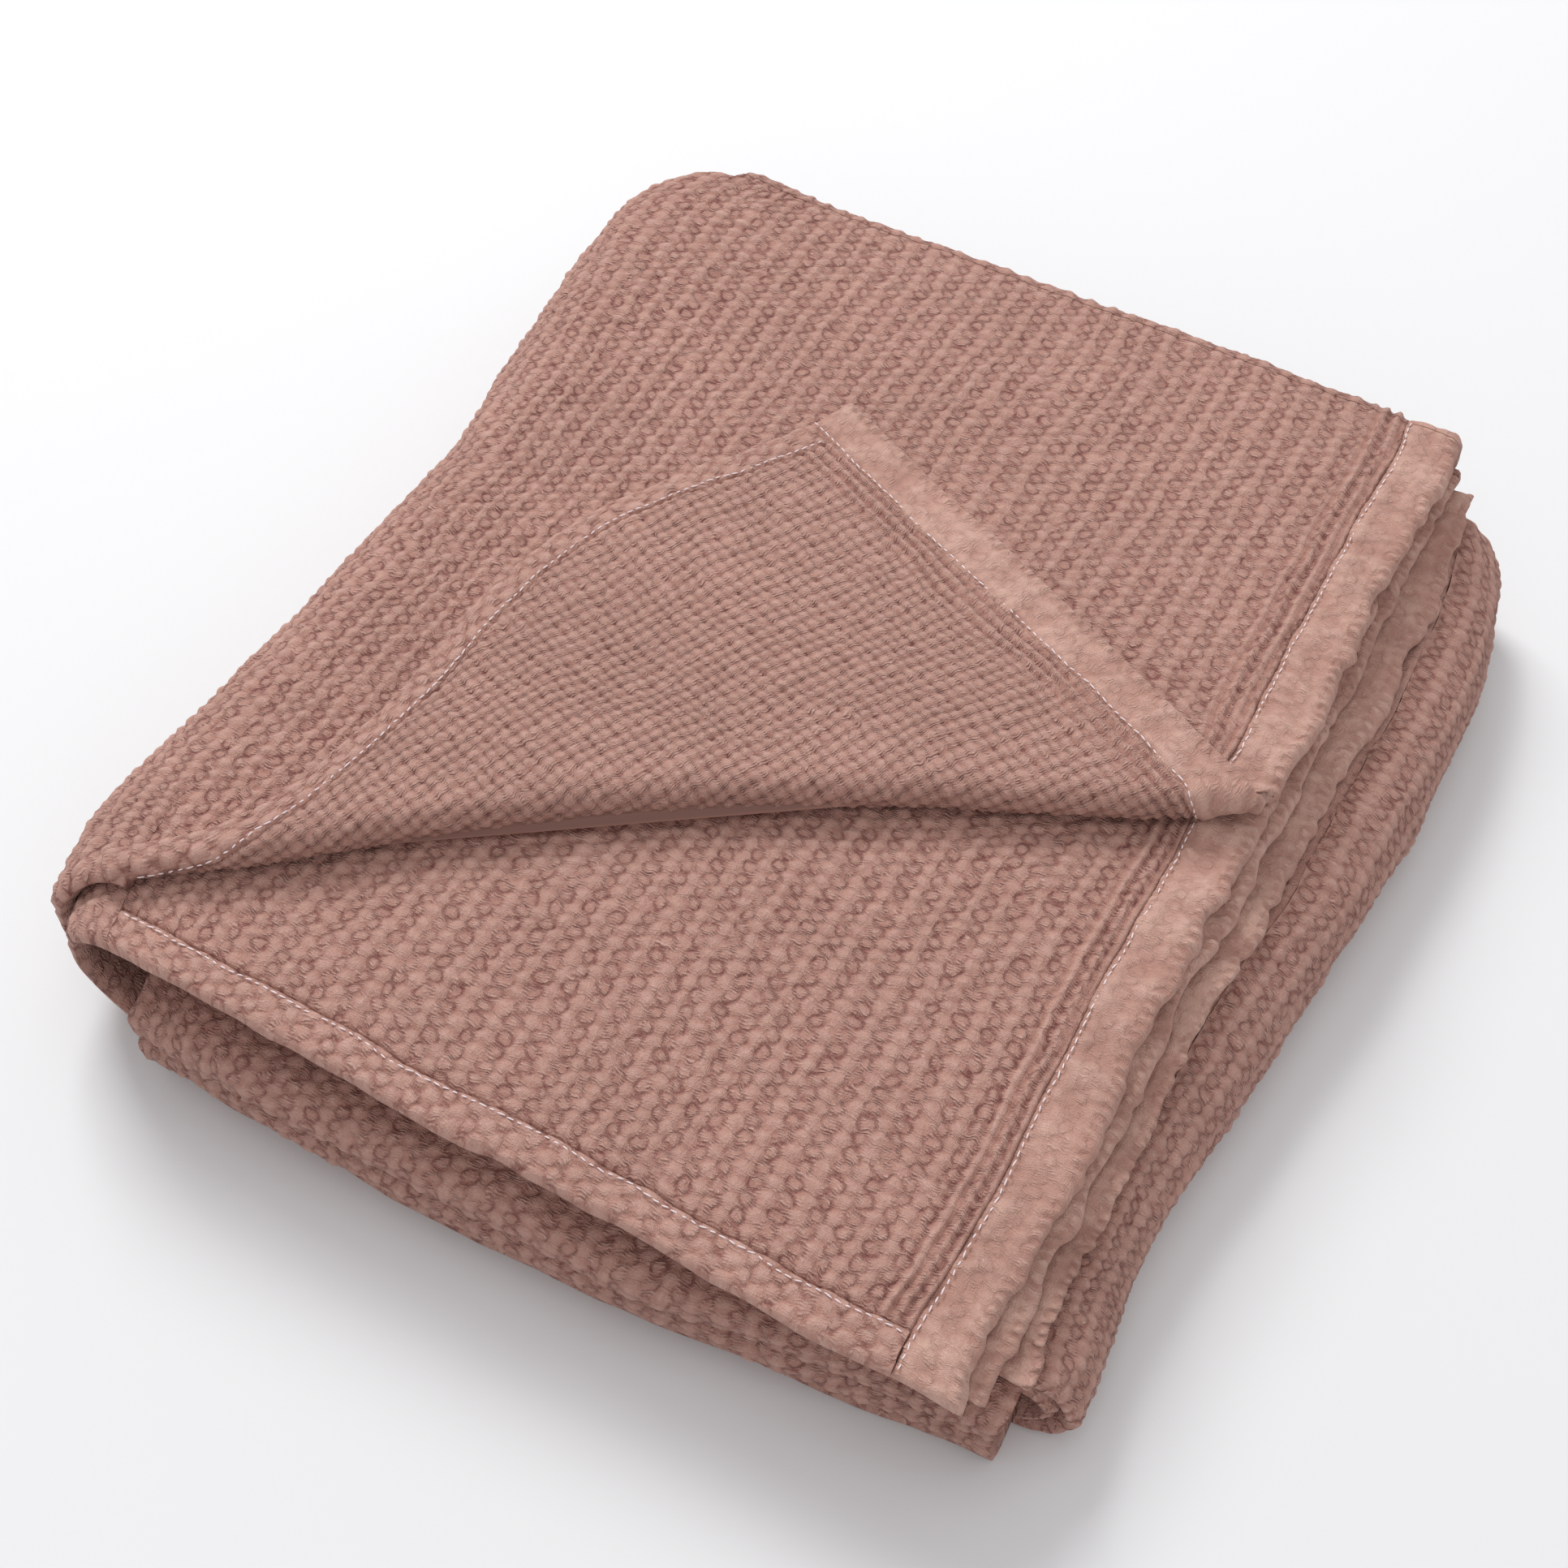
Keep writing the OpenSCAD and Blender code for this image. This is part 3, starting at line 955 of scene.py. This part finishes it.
def hem_at(level, seam, edge, seed, steady):
    """A wide hem at that level, whose folded edge wanders, but not near the places named steady."""

    def place(u, v):
        share = ramp((u - seam) / (edge - seam), 0.10, 1.0)
        for stop in steady:
            share = share * ramp(np.abs(v - stop), 0.0, 0.014)
        line = np.zeros_like(v)
        out = 0.0019 * drift(v, line, 0.015, seed + 60) + 0.0010 * drift(v, line, 0.0052, seed + 61)
        rise = 0.0015 * drift(v, line, 0.019, seed + 62)
        return stack3(u + share * out, v, level + share * rise)

    return place


def panel(name, level, us, vs, relief, rims):
    return cloth_shell(name, us, vs, flat_at(level), relief, rims)


def end_hem(name, level, seam, front, seed, rims, steady=(FLAT_BACK,)):
    """A wide hem at the right end of a leaf, folded over and stitched down."""
    edge = high(name, 0)
    us, vs = spread(seam, edge, HEM_STEP), spread(front, FLAT_BACK, HEM_STEP)
    place = hem_at(level, seam, edge, seed, steady)
    return cloth_shell(name, us, vs, place, hem_relief(seed, edge - seam), rims, half=HEM_HALF)


def at_crease(piece):
    """Cuts a piece of the top leaf along the bowed crease."""
    cut_off(piece, CREASE_AT, -CREASE_BACK)
    bow_leaf(piece)
    return piece


def fine_front(front, far, back, fine, coarse):
    """Grid lines that are close together where the front of a leaf shows, and wide apart behind far."""
    return joined(spread(front, far, fine), spread(far, back, coarse))


# ---------------------------------------------------------------- rows of stitches


UNEVENNESS = 0.30
WAG = (0.12, 0.10, 0.22)


def stitch_tree():
    """Geometry Nodes: stitches at an even pitch along a line, each a short round of thread."""
    found = bpy.data.node_groups.get("stitch_row")
    if found:
        return found
    tree = bpy.data.node_groups.new("stitch_row", "GeometryNodeTree")
    tree.interface.new_socket("Line", in_out="INPUT", socket_type="NodeSocketGeometry")
    for name in ("Pitch", "Length", "Radius", "Unevenness"):
        tree.interface.new_socket(name, in_out="INPUT", socket_type="NodeSocketFloat")
    tree.interface.new_socket("Seed", in_out="INPUT", socket_type="NodeSocketInt")
    tree.interface.new_socket("Thread", in_out="INPUT", socket_type="NodeSocketMaterial")
    tree.interface.new_socket("Stitches", in_out="OUTPUT", socket_type="NodeSocketGeometry")
    given = node(tree, "NodeGroupInput").outputs
    line = node(tree, "GeometryNodeMeshToCurve", {"Mesh": given["Line"]})
    steps = {"Curve": line.outputs[0], "Length": given["Pitch"]}
    spots = node(tree, "GeometryNodeCurveToPoints", steps, mode="LENGTH")
    turn = node(tree, "FunctionNodeAlignRotationToVector", {"Vector": spots.outputs["Tangent"]}, axis="X")
    wag = node(tree, "FunctionNodeRandomValue", data_type="FLOAT_VECTOR")
    wag.inputs["Min"].default_value = [-most for most in WAG]
    wag.inputs["Max"].default_value = WAG
    tree.links.new(given["Seed"], wag.inputs["Seed"])
    wag_turn = node(tree, "FunctionNodeEulerToRotation", {0: wag.outputs[0]})
    both = {0: turn.outputs[0], 1: wag_turn.outputs[0]}
    turned_by = node(tree, "FunctionNodeRotateRotation", both, rotation_space="LOCAL")
    luck = node(tree, "FunctionNodeRandomValue", data_type="FLOAT")
    floats = [s for s in luck.inputs if s.type == "VALUE"]
    for socket, how in zip(floats, ("SUBTRACT", "ADD")):
        tree.links.new(maths(tree, how, 1.0, given["Unevenness"]), socket)
    tree.links.new(given["Seed"], luck.inputs["Seed"])
    luck_out = [o for o in luck.outputs if o.type == "VALUE"][0]
    half_long = maths(tree, "MULTIPLY", maths(tree, "MULTIPLY", given["Length"], 0.5), luck_out)
    size = node(tree, "ShaderNodeCombineXYZ", {0: half_long, 1: given["Radius"], 2: given["Radius"]})
    thread = node(tree, "GeometryNodeMeshUVSphere", {"Segments": 8, "Rings": 6, "Radius": 1.0})
    placed = node(tree, "GeometryNodeInstanceOnPoints", {
        "Points": spots.outputs[0],
        "Instance": thread.outputs[0],
        "Rotation": turned_by.outputs[0],
        "Scale": size.outputs[0],
    })
    real = node(tree, "GeometryNodeRealizeInstances", {0: placed.outputs[0]})
    soft = node(tree, "GeometryNodeSetShadeSmooth", {0: real.outputs[0]})
    paint = {"Geometry": soft.outputs[0], "Material": given["Thread"]}
    node(tree, "NodeGroupOutput", {0: node(tree, "GeometryNodeSetMaterial", paint).outputs[0]})
    return tree


def stitch_row(name, line, seed):
    """One row of stitches along the points of line, as a plain mesh."""
    s = sizes()
    mesh = bpy.data.meshes.new(name + "_line")
    mesh.from_pydata([tuple(p) for p in line], [(i, i + 1) for i in range(len(line) - 1)], [])
    guide = bpy.data.objects.new(name + "_line", mesh)
    bpy.context.scene.collection.objects.link(guide)
    tree = stitch_tree()
    maker = guide.modifiers.new("stitches", "NODES")
    maker.node_group = tree
    values = {
        "Pitch": s.stitch_pitch,
        "Length": s.stitch_length,
        "Radius": s.stitch_radius,
        "Unevenness": UNEVENNESS,
        "Seed": seed,
        "Thread": finish_named("stitch_thread"),
    }
    for item in tree.interface.items_tree:
        if item.item_type == "SOCKET" and item.in_out == "INPUT" and item.name in values:
            maker[item.identifier] = values[item.name]
    bpy.context.view_layer.update()
    graph = bpy.context.evaluated_depsgraph_get()
    made = bpy.data.meshes.new_from_object(guide.evaluated_get(graph))
    made.name = name
    bpy.data.objects.remove(guide)
    bpy.data.meshes.remove(mesh)
    if len(made.vertices) == 0:
        raise RuntimeError(f"the stitches of {name} are empty")
    piece = bpy.data.objects.new(name + "_thread", made)
    bpy.context.scene.collection.objects.link(piece)
    return piece


def seam_row(name, level, u, v, lift, seed):
    """Stitches on a flat leaf of the stack, in place of the CAD node of that name."""
    row = stitch_row(name, on_cloth(flat_at(level), u, v, lift), seed)
    return settle_on(row, [name])


# ---------------------------------------------------------------- leaves with hems


END_RIMS = {"u0": SEAM, "u1": HEM_EDGE, "v0": HEM_EDGE}
SIDE_RIMS = {"v0": HEM_EDGE, "v1": SEAM}
SHOWN_BACK = 0.030


def hemmed_leaf(name, level, left, step, vs, relief, seeds, side_rims, row_back, row_lift):
    """A leaf that ends in a wide hem at the right and, with side_rims, in a narrow one at the front, each
    with its stitches. seeds are those of the wide hem, the narrow hem and the first row."""
    seam_x, seam_y = high(name, 0), low(name, 1)
    front = low(name + "_side_hem", 1) if side_rims else seam_y
    rims = {"u1": SEAM, "v0": SEAM if side_rims else FREE}
    leaf = laid(panel(name, level, spread(left, seam_x, step), vs, relief, rims), name)
    end = end_hem(name + "_end_hem", level, seam_x, front, seeds[0], END_RIMS)
    parts = [laid(end, name + "_end_hem", "end_hem_cloth")]
    if side_rims:
        us, across = spread(left, seam_x, 0.0010), spread(front, seam_y, HEM_STEP)
        side = cloth_shell(name + "_side_hem", us, across, flat_at(level), side_hem_relief(seeds[1]),
                           side_rims, half=HEM_HALF)
        parts.append(laid(side, name + "_side_hem", "side_hem_cloth"))
    v = spread(front + 0.003, row_back, ROW_STEP)
    parts.append(seam_row(name + "_end_seam", level, seam_x + ROW_INSET, v, row_lift, seeds[2]))
    if side_rims:
        u = spread(left + 0.004, seam_x - 0.003, ROW_STEP)
        parts.append(seam_row(name + "_side_seam", level, u, seam_y - ROW_INSET, ROW_PROUD, seeds[2] + 1))


# ---------------------------------------------------------------- operators


class THROW_OT_top_leaf(bpy.types.Operator):
    """The top leaf, its wide hem and the turn at the back that joins it to the second leaf"""

    bl_idname = "throw.top_leaf"
    bl_label = "Top leaf"

    def execute(self, context):
        front = low("top_leaf", 1)
        relief = face_relief(11, seam_x=TOP_SEAM, stronger=lambda u, v: 1 + 0.35 * ramp(-u, 0.03, 0.17))
        us, vs = spread(WRAP_X, TOP_SEAM, 0.0012), spread(front - 0.012, FLAT_BACK, 0.0012)
        leaf = laid(at_crease(panel("top_leaf", TOP_Z, us, vs, relief, {"u1": SEAM})), "top_leaf")
        rims = {"u0": SEAM, "u1": HEM_EDGE}
        steady = (FLAT_BACK, float(CREASE_AT[1] + CREASE_LEN * CREASE_WAY[1]))
        hem = at_crease(end_hem("top_leaf_end_hem", TOP_Z, TOP_SEAM, CREASE_AT[1], 41, rims, steady))
        laid(hem, "top_leaf_end_hem", "end_hem_cloth")
        v = spread(0.016, FLAT_BACK - 0.002, ROW_STEP)
        seam = seam_row("top_leaf_end_seam", TOP_Z, TOP_SEAM + ROW_INSET, v, ROW_SUNK, 1)
        turn = spread(FLAT_BACK, FLAT_BACK + CORNER_TURN, HEM_STEP)
        place = turned(FLAT_BACK, TOP_Z, SECOND_Z, 1)
        relief = face_relief(11, seam_x=TOP_SEAM, turn_v=(FLAT_BACK, 1, TURN_R))
        rounded = cloth_shell("upper_back_fold", us, turn, place, relief, {"u1": SEAM})
        laid(rounded, "upper_back_fold")
        hem_us = spread(TOP_SEAM, TOP_RIGHT, HEM_STEP)
        hem_turn = cloth_shell("upper_back_fold_hem", hem_us, turn, place, hem_relief(41, END_HEM), rims,
                               half=HEM_HALF)
        dress(hem_turn, "end_hem_cloth")
        settle_on(hem_turn, [])
        return {"FINISHED"}


class THROW_OT_second_leaf(bpy.types.Operator):
    """The second leaf, which shows in front of the crease, with its two hems and their stitches"""

    bl_idname = "throw.second_leaf"
    bl_label = "Second leaf"

    def execute(self, context):
        vs = fine_front(low("second_leaf", 1), SHOWN_BACK, FLAT_BACK, 0.00112, 0.006)
        relief = face_relief(17, seam_x=high("second_leaf", 0))
        hemmed_leaf("second_leaf", SECOND_Z, WRAP_X, 0.00112, vs, relief, (43, 45, 2),
                    SIDE_RIMS, SHOWN_BACK, ROW_SUNK)
        return {"FINISHED"}


class THROW_OT_lower_leaves(bpy.types.Operator):
    """The third and fourth leaves, the lining and the base, with the hems that show at their edges"""

    bl_idname = "throw.lower_leaves"
    bl_label = "Lower leaves"

    def execute(self, context):
        end = FLAT_BACK - 0.002
        vs = spread(low("third_leaf", 1), FLAT_BACK, 0.004)
        hemmed_leaf("third_leaf", THIRD_Z, INNER_X, 0.003, vs, plain_relief(51), (47, 49, 4),
                    {**SIDE_RIMS, "u0": FREE}, end, ROW_PROUD)
        front = low("fourth_leaf", 1)
        vs = fine_front(front, front + 0.02, FLAT_BACK, 0.0012, 0.004)
        hemmed_leaf("fourth_leaf", FOURTH_Z, INNER_X, 0.003, vs, plain_relief(53), (55, None, 6), None,
                    end, ROW_PROUD)
        for name, seed, rests in (("lining_leaf", 57, "base_leaf"), ("base_leaf", 59, "the floor")):
            us = spread(low(name, 0), high(name, 0), 0.003)
            front = low(name, 1)
            vs = fine_front(front, front + 0.03, high(name, 1), 0.0012, 0.006)
            leaf = laid(panel(name, leaf_level(name), us, vs, plain_relief(seed), {"v0": FREE}), name)
        return {"FINISHED"}


class THROW_OT_doubled_leaves(bpy.types.Operator):
    """The two doubled leaves, which turn back under themselves at the front"""

    bl_idname = "throw.doubled_leaves"
    bl_label = "Doubled leaves"

    def execute(self, context):
        for name, seed, rests in (
            ("upper_doubled_leaf", 61, "lower_doubled_leaf"),
            ("lower_doubled_leaf", 63, "lining_leaf"),
        ):
            upper, lower = high(name, 2) - HALF, low(name, 2) + HALF
            radius = (upper - lower) / 2
            bend, back = low(name, 1) + radius + HALF, high(name, 1)
            turn = math.pi * radius
            under = bend - turn - (back - bend)
            us = spread(low(name, 0), high(name, 0), 0.0012)
            vs = joined(
                spread(under, bend - turn - 0.016, 0.012),
                spread(bend - turn - 0.016, bend + 0.014, 0.0011),
                spread(bend + 0.014, back, 0.012),
            )
            piece = cloth_shell(name, us, vs, turned(bend, upper, lower, -1),
                                face_relief(seed, turn_v=(bend, -1, radius)),
                                {"u0": FREE, "v0": FREE, "v1": FREE}, under=6)
            laid(piece, name)
        return {"FINISHED"}


class THROW_OT_side_turns(bpy.types.Operator):
    """The turns at the left and right, where the throw wraps round itself"""

    bl_idname = "throw.side_turns"
    bl_label = "Side turns"

    def execute(self, context):
        turns = (
            ("outer_left_wrap", WRAP_X, TOP_Z, BASE_Z, -1, 0.0013, 11),
            ("inner_left_wrap", WRAP_X, SECOND_Z, LINING_Z, -1, 0.0016, 67),
            ("inner_left_fold", INNER_X, THIRD_Z, FOURTH_Z, -1, 0.0016, 69),
            ("outer_right_fold", BASE_RIGHT, BASE_Z + 5 * LEVEL_STEP, BASE_Z, 1, 0.0011, 71),
            ("inner_right_fold", BASE_RIGHT, BASE_Z + 4 * LEVEL_STEP, LINING_Z, 1, 0.0025, 73),
        )
        for name, bend, upper, lower, way, step, seed in turns:
            front, back = low(name, 1), high(name, 1)
            length = math.pi * (upper - lower) / 2
            us = spread(min(bend, bend + way * length), max(bend, bend + way * length), step)
            vs = spread(front, back, step)
            place, relief = turned(bend, upper, lower, way, sideways=True), face_relief(seed)
            if name == "outer_left_wrap":
                relief = face_relief(seed, stronger=lambda u, v: 1.25)
                place = self.trimmed(place, front)
            if name == "inner_left_wrap":
                front = low("second_leaf_side_hem", 1)
                vs = spread(front, back, step)
            piece = laid(cloth_shell(name, us, vs, place, relief, {"v0": FREE, "v1": FREE}), name)
        return {"FINISHED"}

    def trimmed(self, place, front):
        """The outer wrap, whose front edge runs back to meet the crease as it nears the top."""

        def trimmed_place(u, v):
            lead = (CREASE_AT[1] - 0.0105 - front) * ramp(u, WRAP_X - 0.055, WRAP_X - 0.002)
            return place(u, v + lead * (1 - ramp(v, front, front + 0.07)))

        return trimmed_place


class THROW_OT_back_turns(bpy.types.Operator):
    """The middle and lower turns at the back"""

    bl_idname = "throw.back_turns"
    bl_label = "Back turns"

    def execute(self, context):
        for name, upper, lower, seed in (
            ("middle_back_fold", THIRD_Z, FOURTH_Z, 75),
            ("lower_back_fold", LINING_Z, BASE_Z, 77),
        ):
            us = spread(low(name, 0), high(name, 0), 0.0016)
            vs = spread(FLAT_BACK, FLAT_BACK + CORNER_TURN, 0.0011)
            relief = face_relief(seed, turn_v=(FLAT_BACK, 1, TURN_R))
            place = turned(FLAT_BACK, upper, lower, 1)
            piece = laid(cloth_shell(name, us, vs, place, relief, {"u0": FREE, "u1": FREE}), name)
        return {"FINISHED"}


class THROW_OT_turned_corner(bpy.types.Operator):
    """The corner of the top leaf, turned back over it along the crease, with its two hems"""

    bl_idname = "throw.turned_corner"
    bl_label = "Turned corner"

    def execute(self, context):
        run, inward, run_s = side_edge_run()

        def from_end_seam(along, out):
            return -((along - END_SEAM_FOOT[0]) * END_OUT[0] + (out - END_SEAM_FOOT[1]) * END_OUT[1])

        def along_end(along, out):
            return (along - END_SEAM_FOOT[0]) * END_WAY[0] + (out - END_SEAM_FOOT[1]) * END_WAY[1]

        def inside(along, out):
            from_end = from_end_seam(along, out)
            from_side = side_hem_inward(along, out, run, inward) - SIDE_HEM
            depth = np.minimum(from_end, from_side) + 0.0016
            return depth, [(from_end + 0.0006, SEAM), (from_side + 0.0006, SEAM)]

        def ribbed(height_of, seed, tight=1.0):
            def relief(along, out):
                wider = out - np.clip(CORNER_TURN - out, 0, CORNER_TURN) * HALF / TURN_R
                away, run_on = from_end_seam(along, wider), along_end(along, wider)
                a, b = weave_at(away, run_on, seed, tight)
                height = gathered(height_of(a, b, seed), away, run_on, seed, (0.008, 0.020))
                return height, as_puff(height), np.stack([a, b], axis=-1)

            return relief

        def hinged(piece, nodes):
            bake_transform(piece)
            return settle_on(piece, nodes, None)

        us = spread(-0.012, END_SEAM_FOOT[0] + 0.004, 0.00115)
        vs = spread(0.0, CORNER_TIP[1], 0.00115)
        # Past the crease the cloth lies wrong side up, so its outer side there is the reverse.
        upper, under = ribbed(reverse_height, 81, REVERSE_TIGHT), ribbed(face_height, 83)
        cloth = cloth_shell("turned_corner", us, vs, crease_place, upper, {},
                            under_relief=under, inside=inside)
        dress(cloth, "rose_cloth_reverse", "rose_cloth")
        hinged(cloth, ["turned_corner", "corner_crease"])

        def end_place(t, s):
            spot = END_SEAM_FOOT + s[..., None] * END_WAY + t[..., None] * END_OUT
            return crease_place(spot[..., 0], spot[..., 1])

        ts, ss = spread(0.0, END_HEM, HEM_STEP), spread(-0.004, END_LENGTH, HEM_STEP)
        end_piece = cloth_shell("turned_corner_end_hem", ts, ss, end_place, hem_relief(85, END_HEM),
                                {"u0": SEAM, "u1": HEM_EDGE, "v1": HEM_EDGE}, half=HEM_HALF)
        dress(end_piece, "end_hem_cloth")
        hinged(end_piece, ["turned_corner_end_hem"])

        def side_place(s, t):
            k = np.interp(s, run_s, np.arange(len(run_s)))
            i = np.clip(k.astype(int), 0, len(run_s) - 2)
            f = (k - i)[..., None]
            spot = run[i] * (1 - f) + run[i + 1] * f
            into = inward[i] * (1 - f) + inward[i + 1] * f
            spot = spot + into * t[..., None]
            return crease_place(spot[..., 0], spot[..., 1])

        ts, ss = spread(0.0, SIDE_HEM, HEM_STEP), spread(run_s[0], run_s[-1], 0.0010)
        side_piece = cloth_shell("turned_corner_side_hem", ss, ts, side_place, side_hem_relief(87),
                                 {"u0": SEAM, "u1": FREE, "v0": HEM_EDGE, "v1": SEAM}, half=HEM_HALF)
        dress(side_piece, "side_hem_cloth")
        hinged(side_piece, ["turned_corner_side_hem"])
        v = spread(0.010, END_LENGTH - 0.003, ROW_STEP)
        one = stitch_row("turned_corner_end_seam", on_cloth(end_place, ROW_INSET, v, ROW_SUNK), 7)
        hinged(one, ["turned_corner_end_seam"])
        u = spread(0.003, run_s[-1] - 0.016, ROW_STEP)
        line = on_cloth(side_place, u, SIDE_HEM - ROW_INSET, ROW_PROUD)
        two = stitch_row("turned_corner_side_seam", line, 8)
        hinged(two, ["turned_corner_side_seam"])
        return {"FINISHED"}


class THROW_OT_stage(bpy.types.Operator):
    """The pale floor, the soft lights and the camera"""

    bl_idname = "throw.stage"
    bl_label = "Stage"

    def execute(self, context):
        mesh = bpy.data.meshes.new("floor")
        mesh.from_pydata([(-4, -4, 0), (4, -4, 0), (4, 4, 0), (-4, 4, 0)], [], [(0, 1, 2, 3)])
        floor = bpy.data.objects.new("floor", mesh)
        paint = bpy.data.materials.new("floor")
        paint.use_nodes = True
        shader = paint.node_tree.nodes["Principled BSDF"]
        shader.inputs["Base Color"].default_value = rgba(colours().floor)
        shader.inputs["Roughness"].default_value = 0.9
        shader.inputs["Specular IOR Level"].default_value = 0.1
        mesh.materials.append(paint)
        context.scene.collection.objects.link(floor)
        world = bpy.data.worlds.new("studio")
        world.use_nodes = True
        world.node_tree.nodes["Background"].inputs[0].default_value = (1.0, 0.94, 0.95, 1.0)
        world.node_tree.nodes["Background"].inputs[1].default_value = 0.50
        context.scene.world = world
        context.scene.view_settings.view_transform = "Standard"
        for name, place, aim, size, power in (
            ("key", (-1.9, 1.5, 2.7), (0, 0, 0.05), 1.4, 90.0),
            ("fill", (1.8, -2.6, 3.2), (0, 0, 0.05), 3.6, 20.0),
            ("top", (0.1, -0.1, 3.6), (0, 0, 0), 2.6, 25.0),
        ):
            light = bpy.data.lights.new(name, "AREA")
            light.size = size
            light.energy = power
            lamp = bpy.data.objects.new(name, light)
            lamp.location = place
            way = np.array(aim, float) - np.array(place)
            lamp.rotation_euler = (
                math.atan2(math.hypot(way[0], way[1]), -way[2]), 0, math.atan2(way[1], way[0]) - math.pi / 2
            )
            context.scene.collection.objects.link(lamp)
        camera = bpy.data.cameras.new("camera")
        camera.lens = 50
        camera.sensor_width = 36
        eye = bpy.data.objects.new("camera", camera)
        eye.location = (0.2440, -0.4649, 0.7394)
        eye.rotation_euler = (math.radians(35.69), 0, math.radians(29.23))
        context.scene.collection.objects.link(eye)
        context.scene.camera = eye
        return {"FINISHED"}


class THROW_PT_panel(bpy.types.Panel):
    """Lists the pieces of the throw"""

    bl_idname = "THROW_PT_panel"
    bl_label = "Folded throw"
    bl_space_type = "VIEW_3D"
    bl_region_type = "UI"
    bl_category = "Throw"

    def draw(self, context):
        for maker in MAKERS:
            self.layout.operator(maker.bl_idname, text=maker.bl_label)
        for group in (context.scene.throw_sizes, context.scene.throw_colours):
            for name in group.bl_rna.properties.keys():
                if name not in {"rna_type", "name"}:
                    self.layout.prop(group, name)


MAKERS = (
    THROW_OT_top_leaf,
    THROW_OT_second_leaf,
    THROW_OT_lower_leaves,
    THROW_OT_doubled_leaves,
    THROW_OT_side_turns,
    THROW_OT_back_turns,
    THROW_OT_turned_corner,
    THROW_OT_stage,
)
CLASSES = (ThrowSizes, ThrowColours, *MAKERS, THROW_PT_panel)


def register():
    for made in CLASSES:
        bpy.utils.register_class(made)
    bpy.types.Scene.throw_sizes = bpy.props.PointerProperty(type=ThrowSizes)
    bpy.types.Scene.throw_colours = bpy.props.PointerProperty(type=ThrowColours)


def unregister():
    del bpy.types.Scene.throw_colours
    del bpy.types.Scene.throw_sizes
    for made in reversed(CLASSES):
        bpy.utils.unregister_class(made)


def main():
    register()
    for maker in MAKERS:
        group, name = maker.bl_idname.split(".")
        getattr(getattr(bpy.ops, group), name)()


if __name__ == "__main__":
    main()
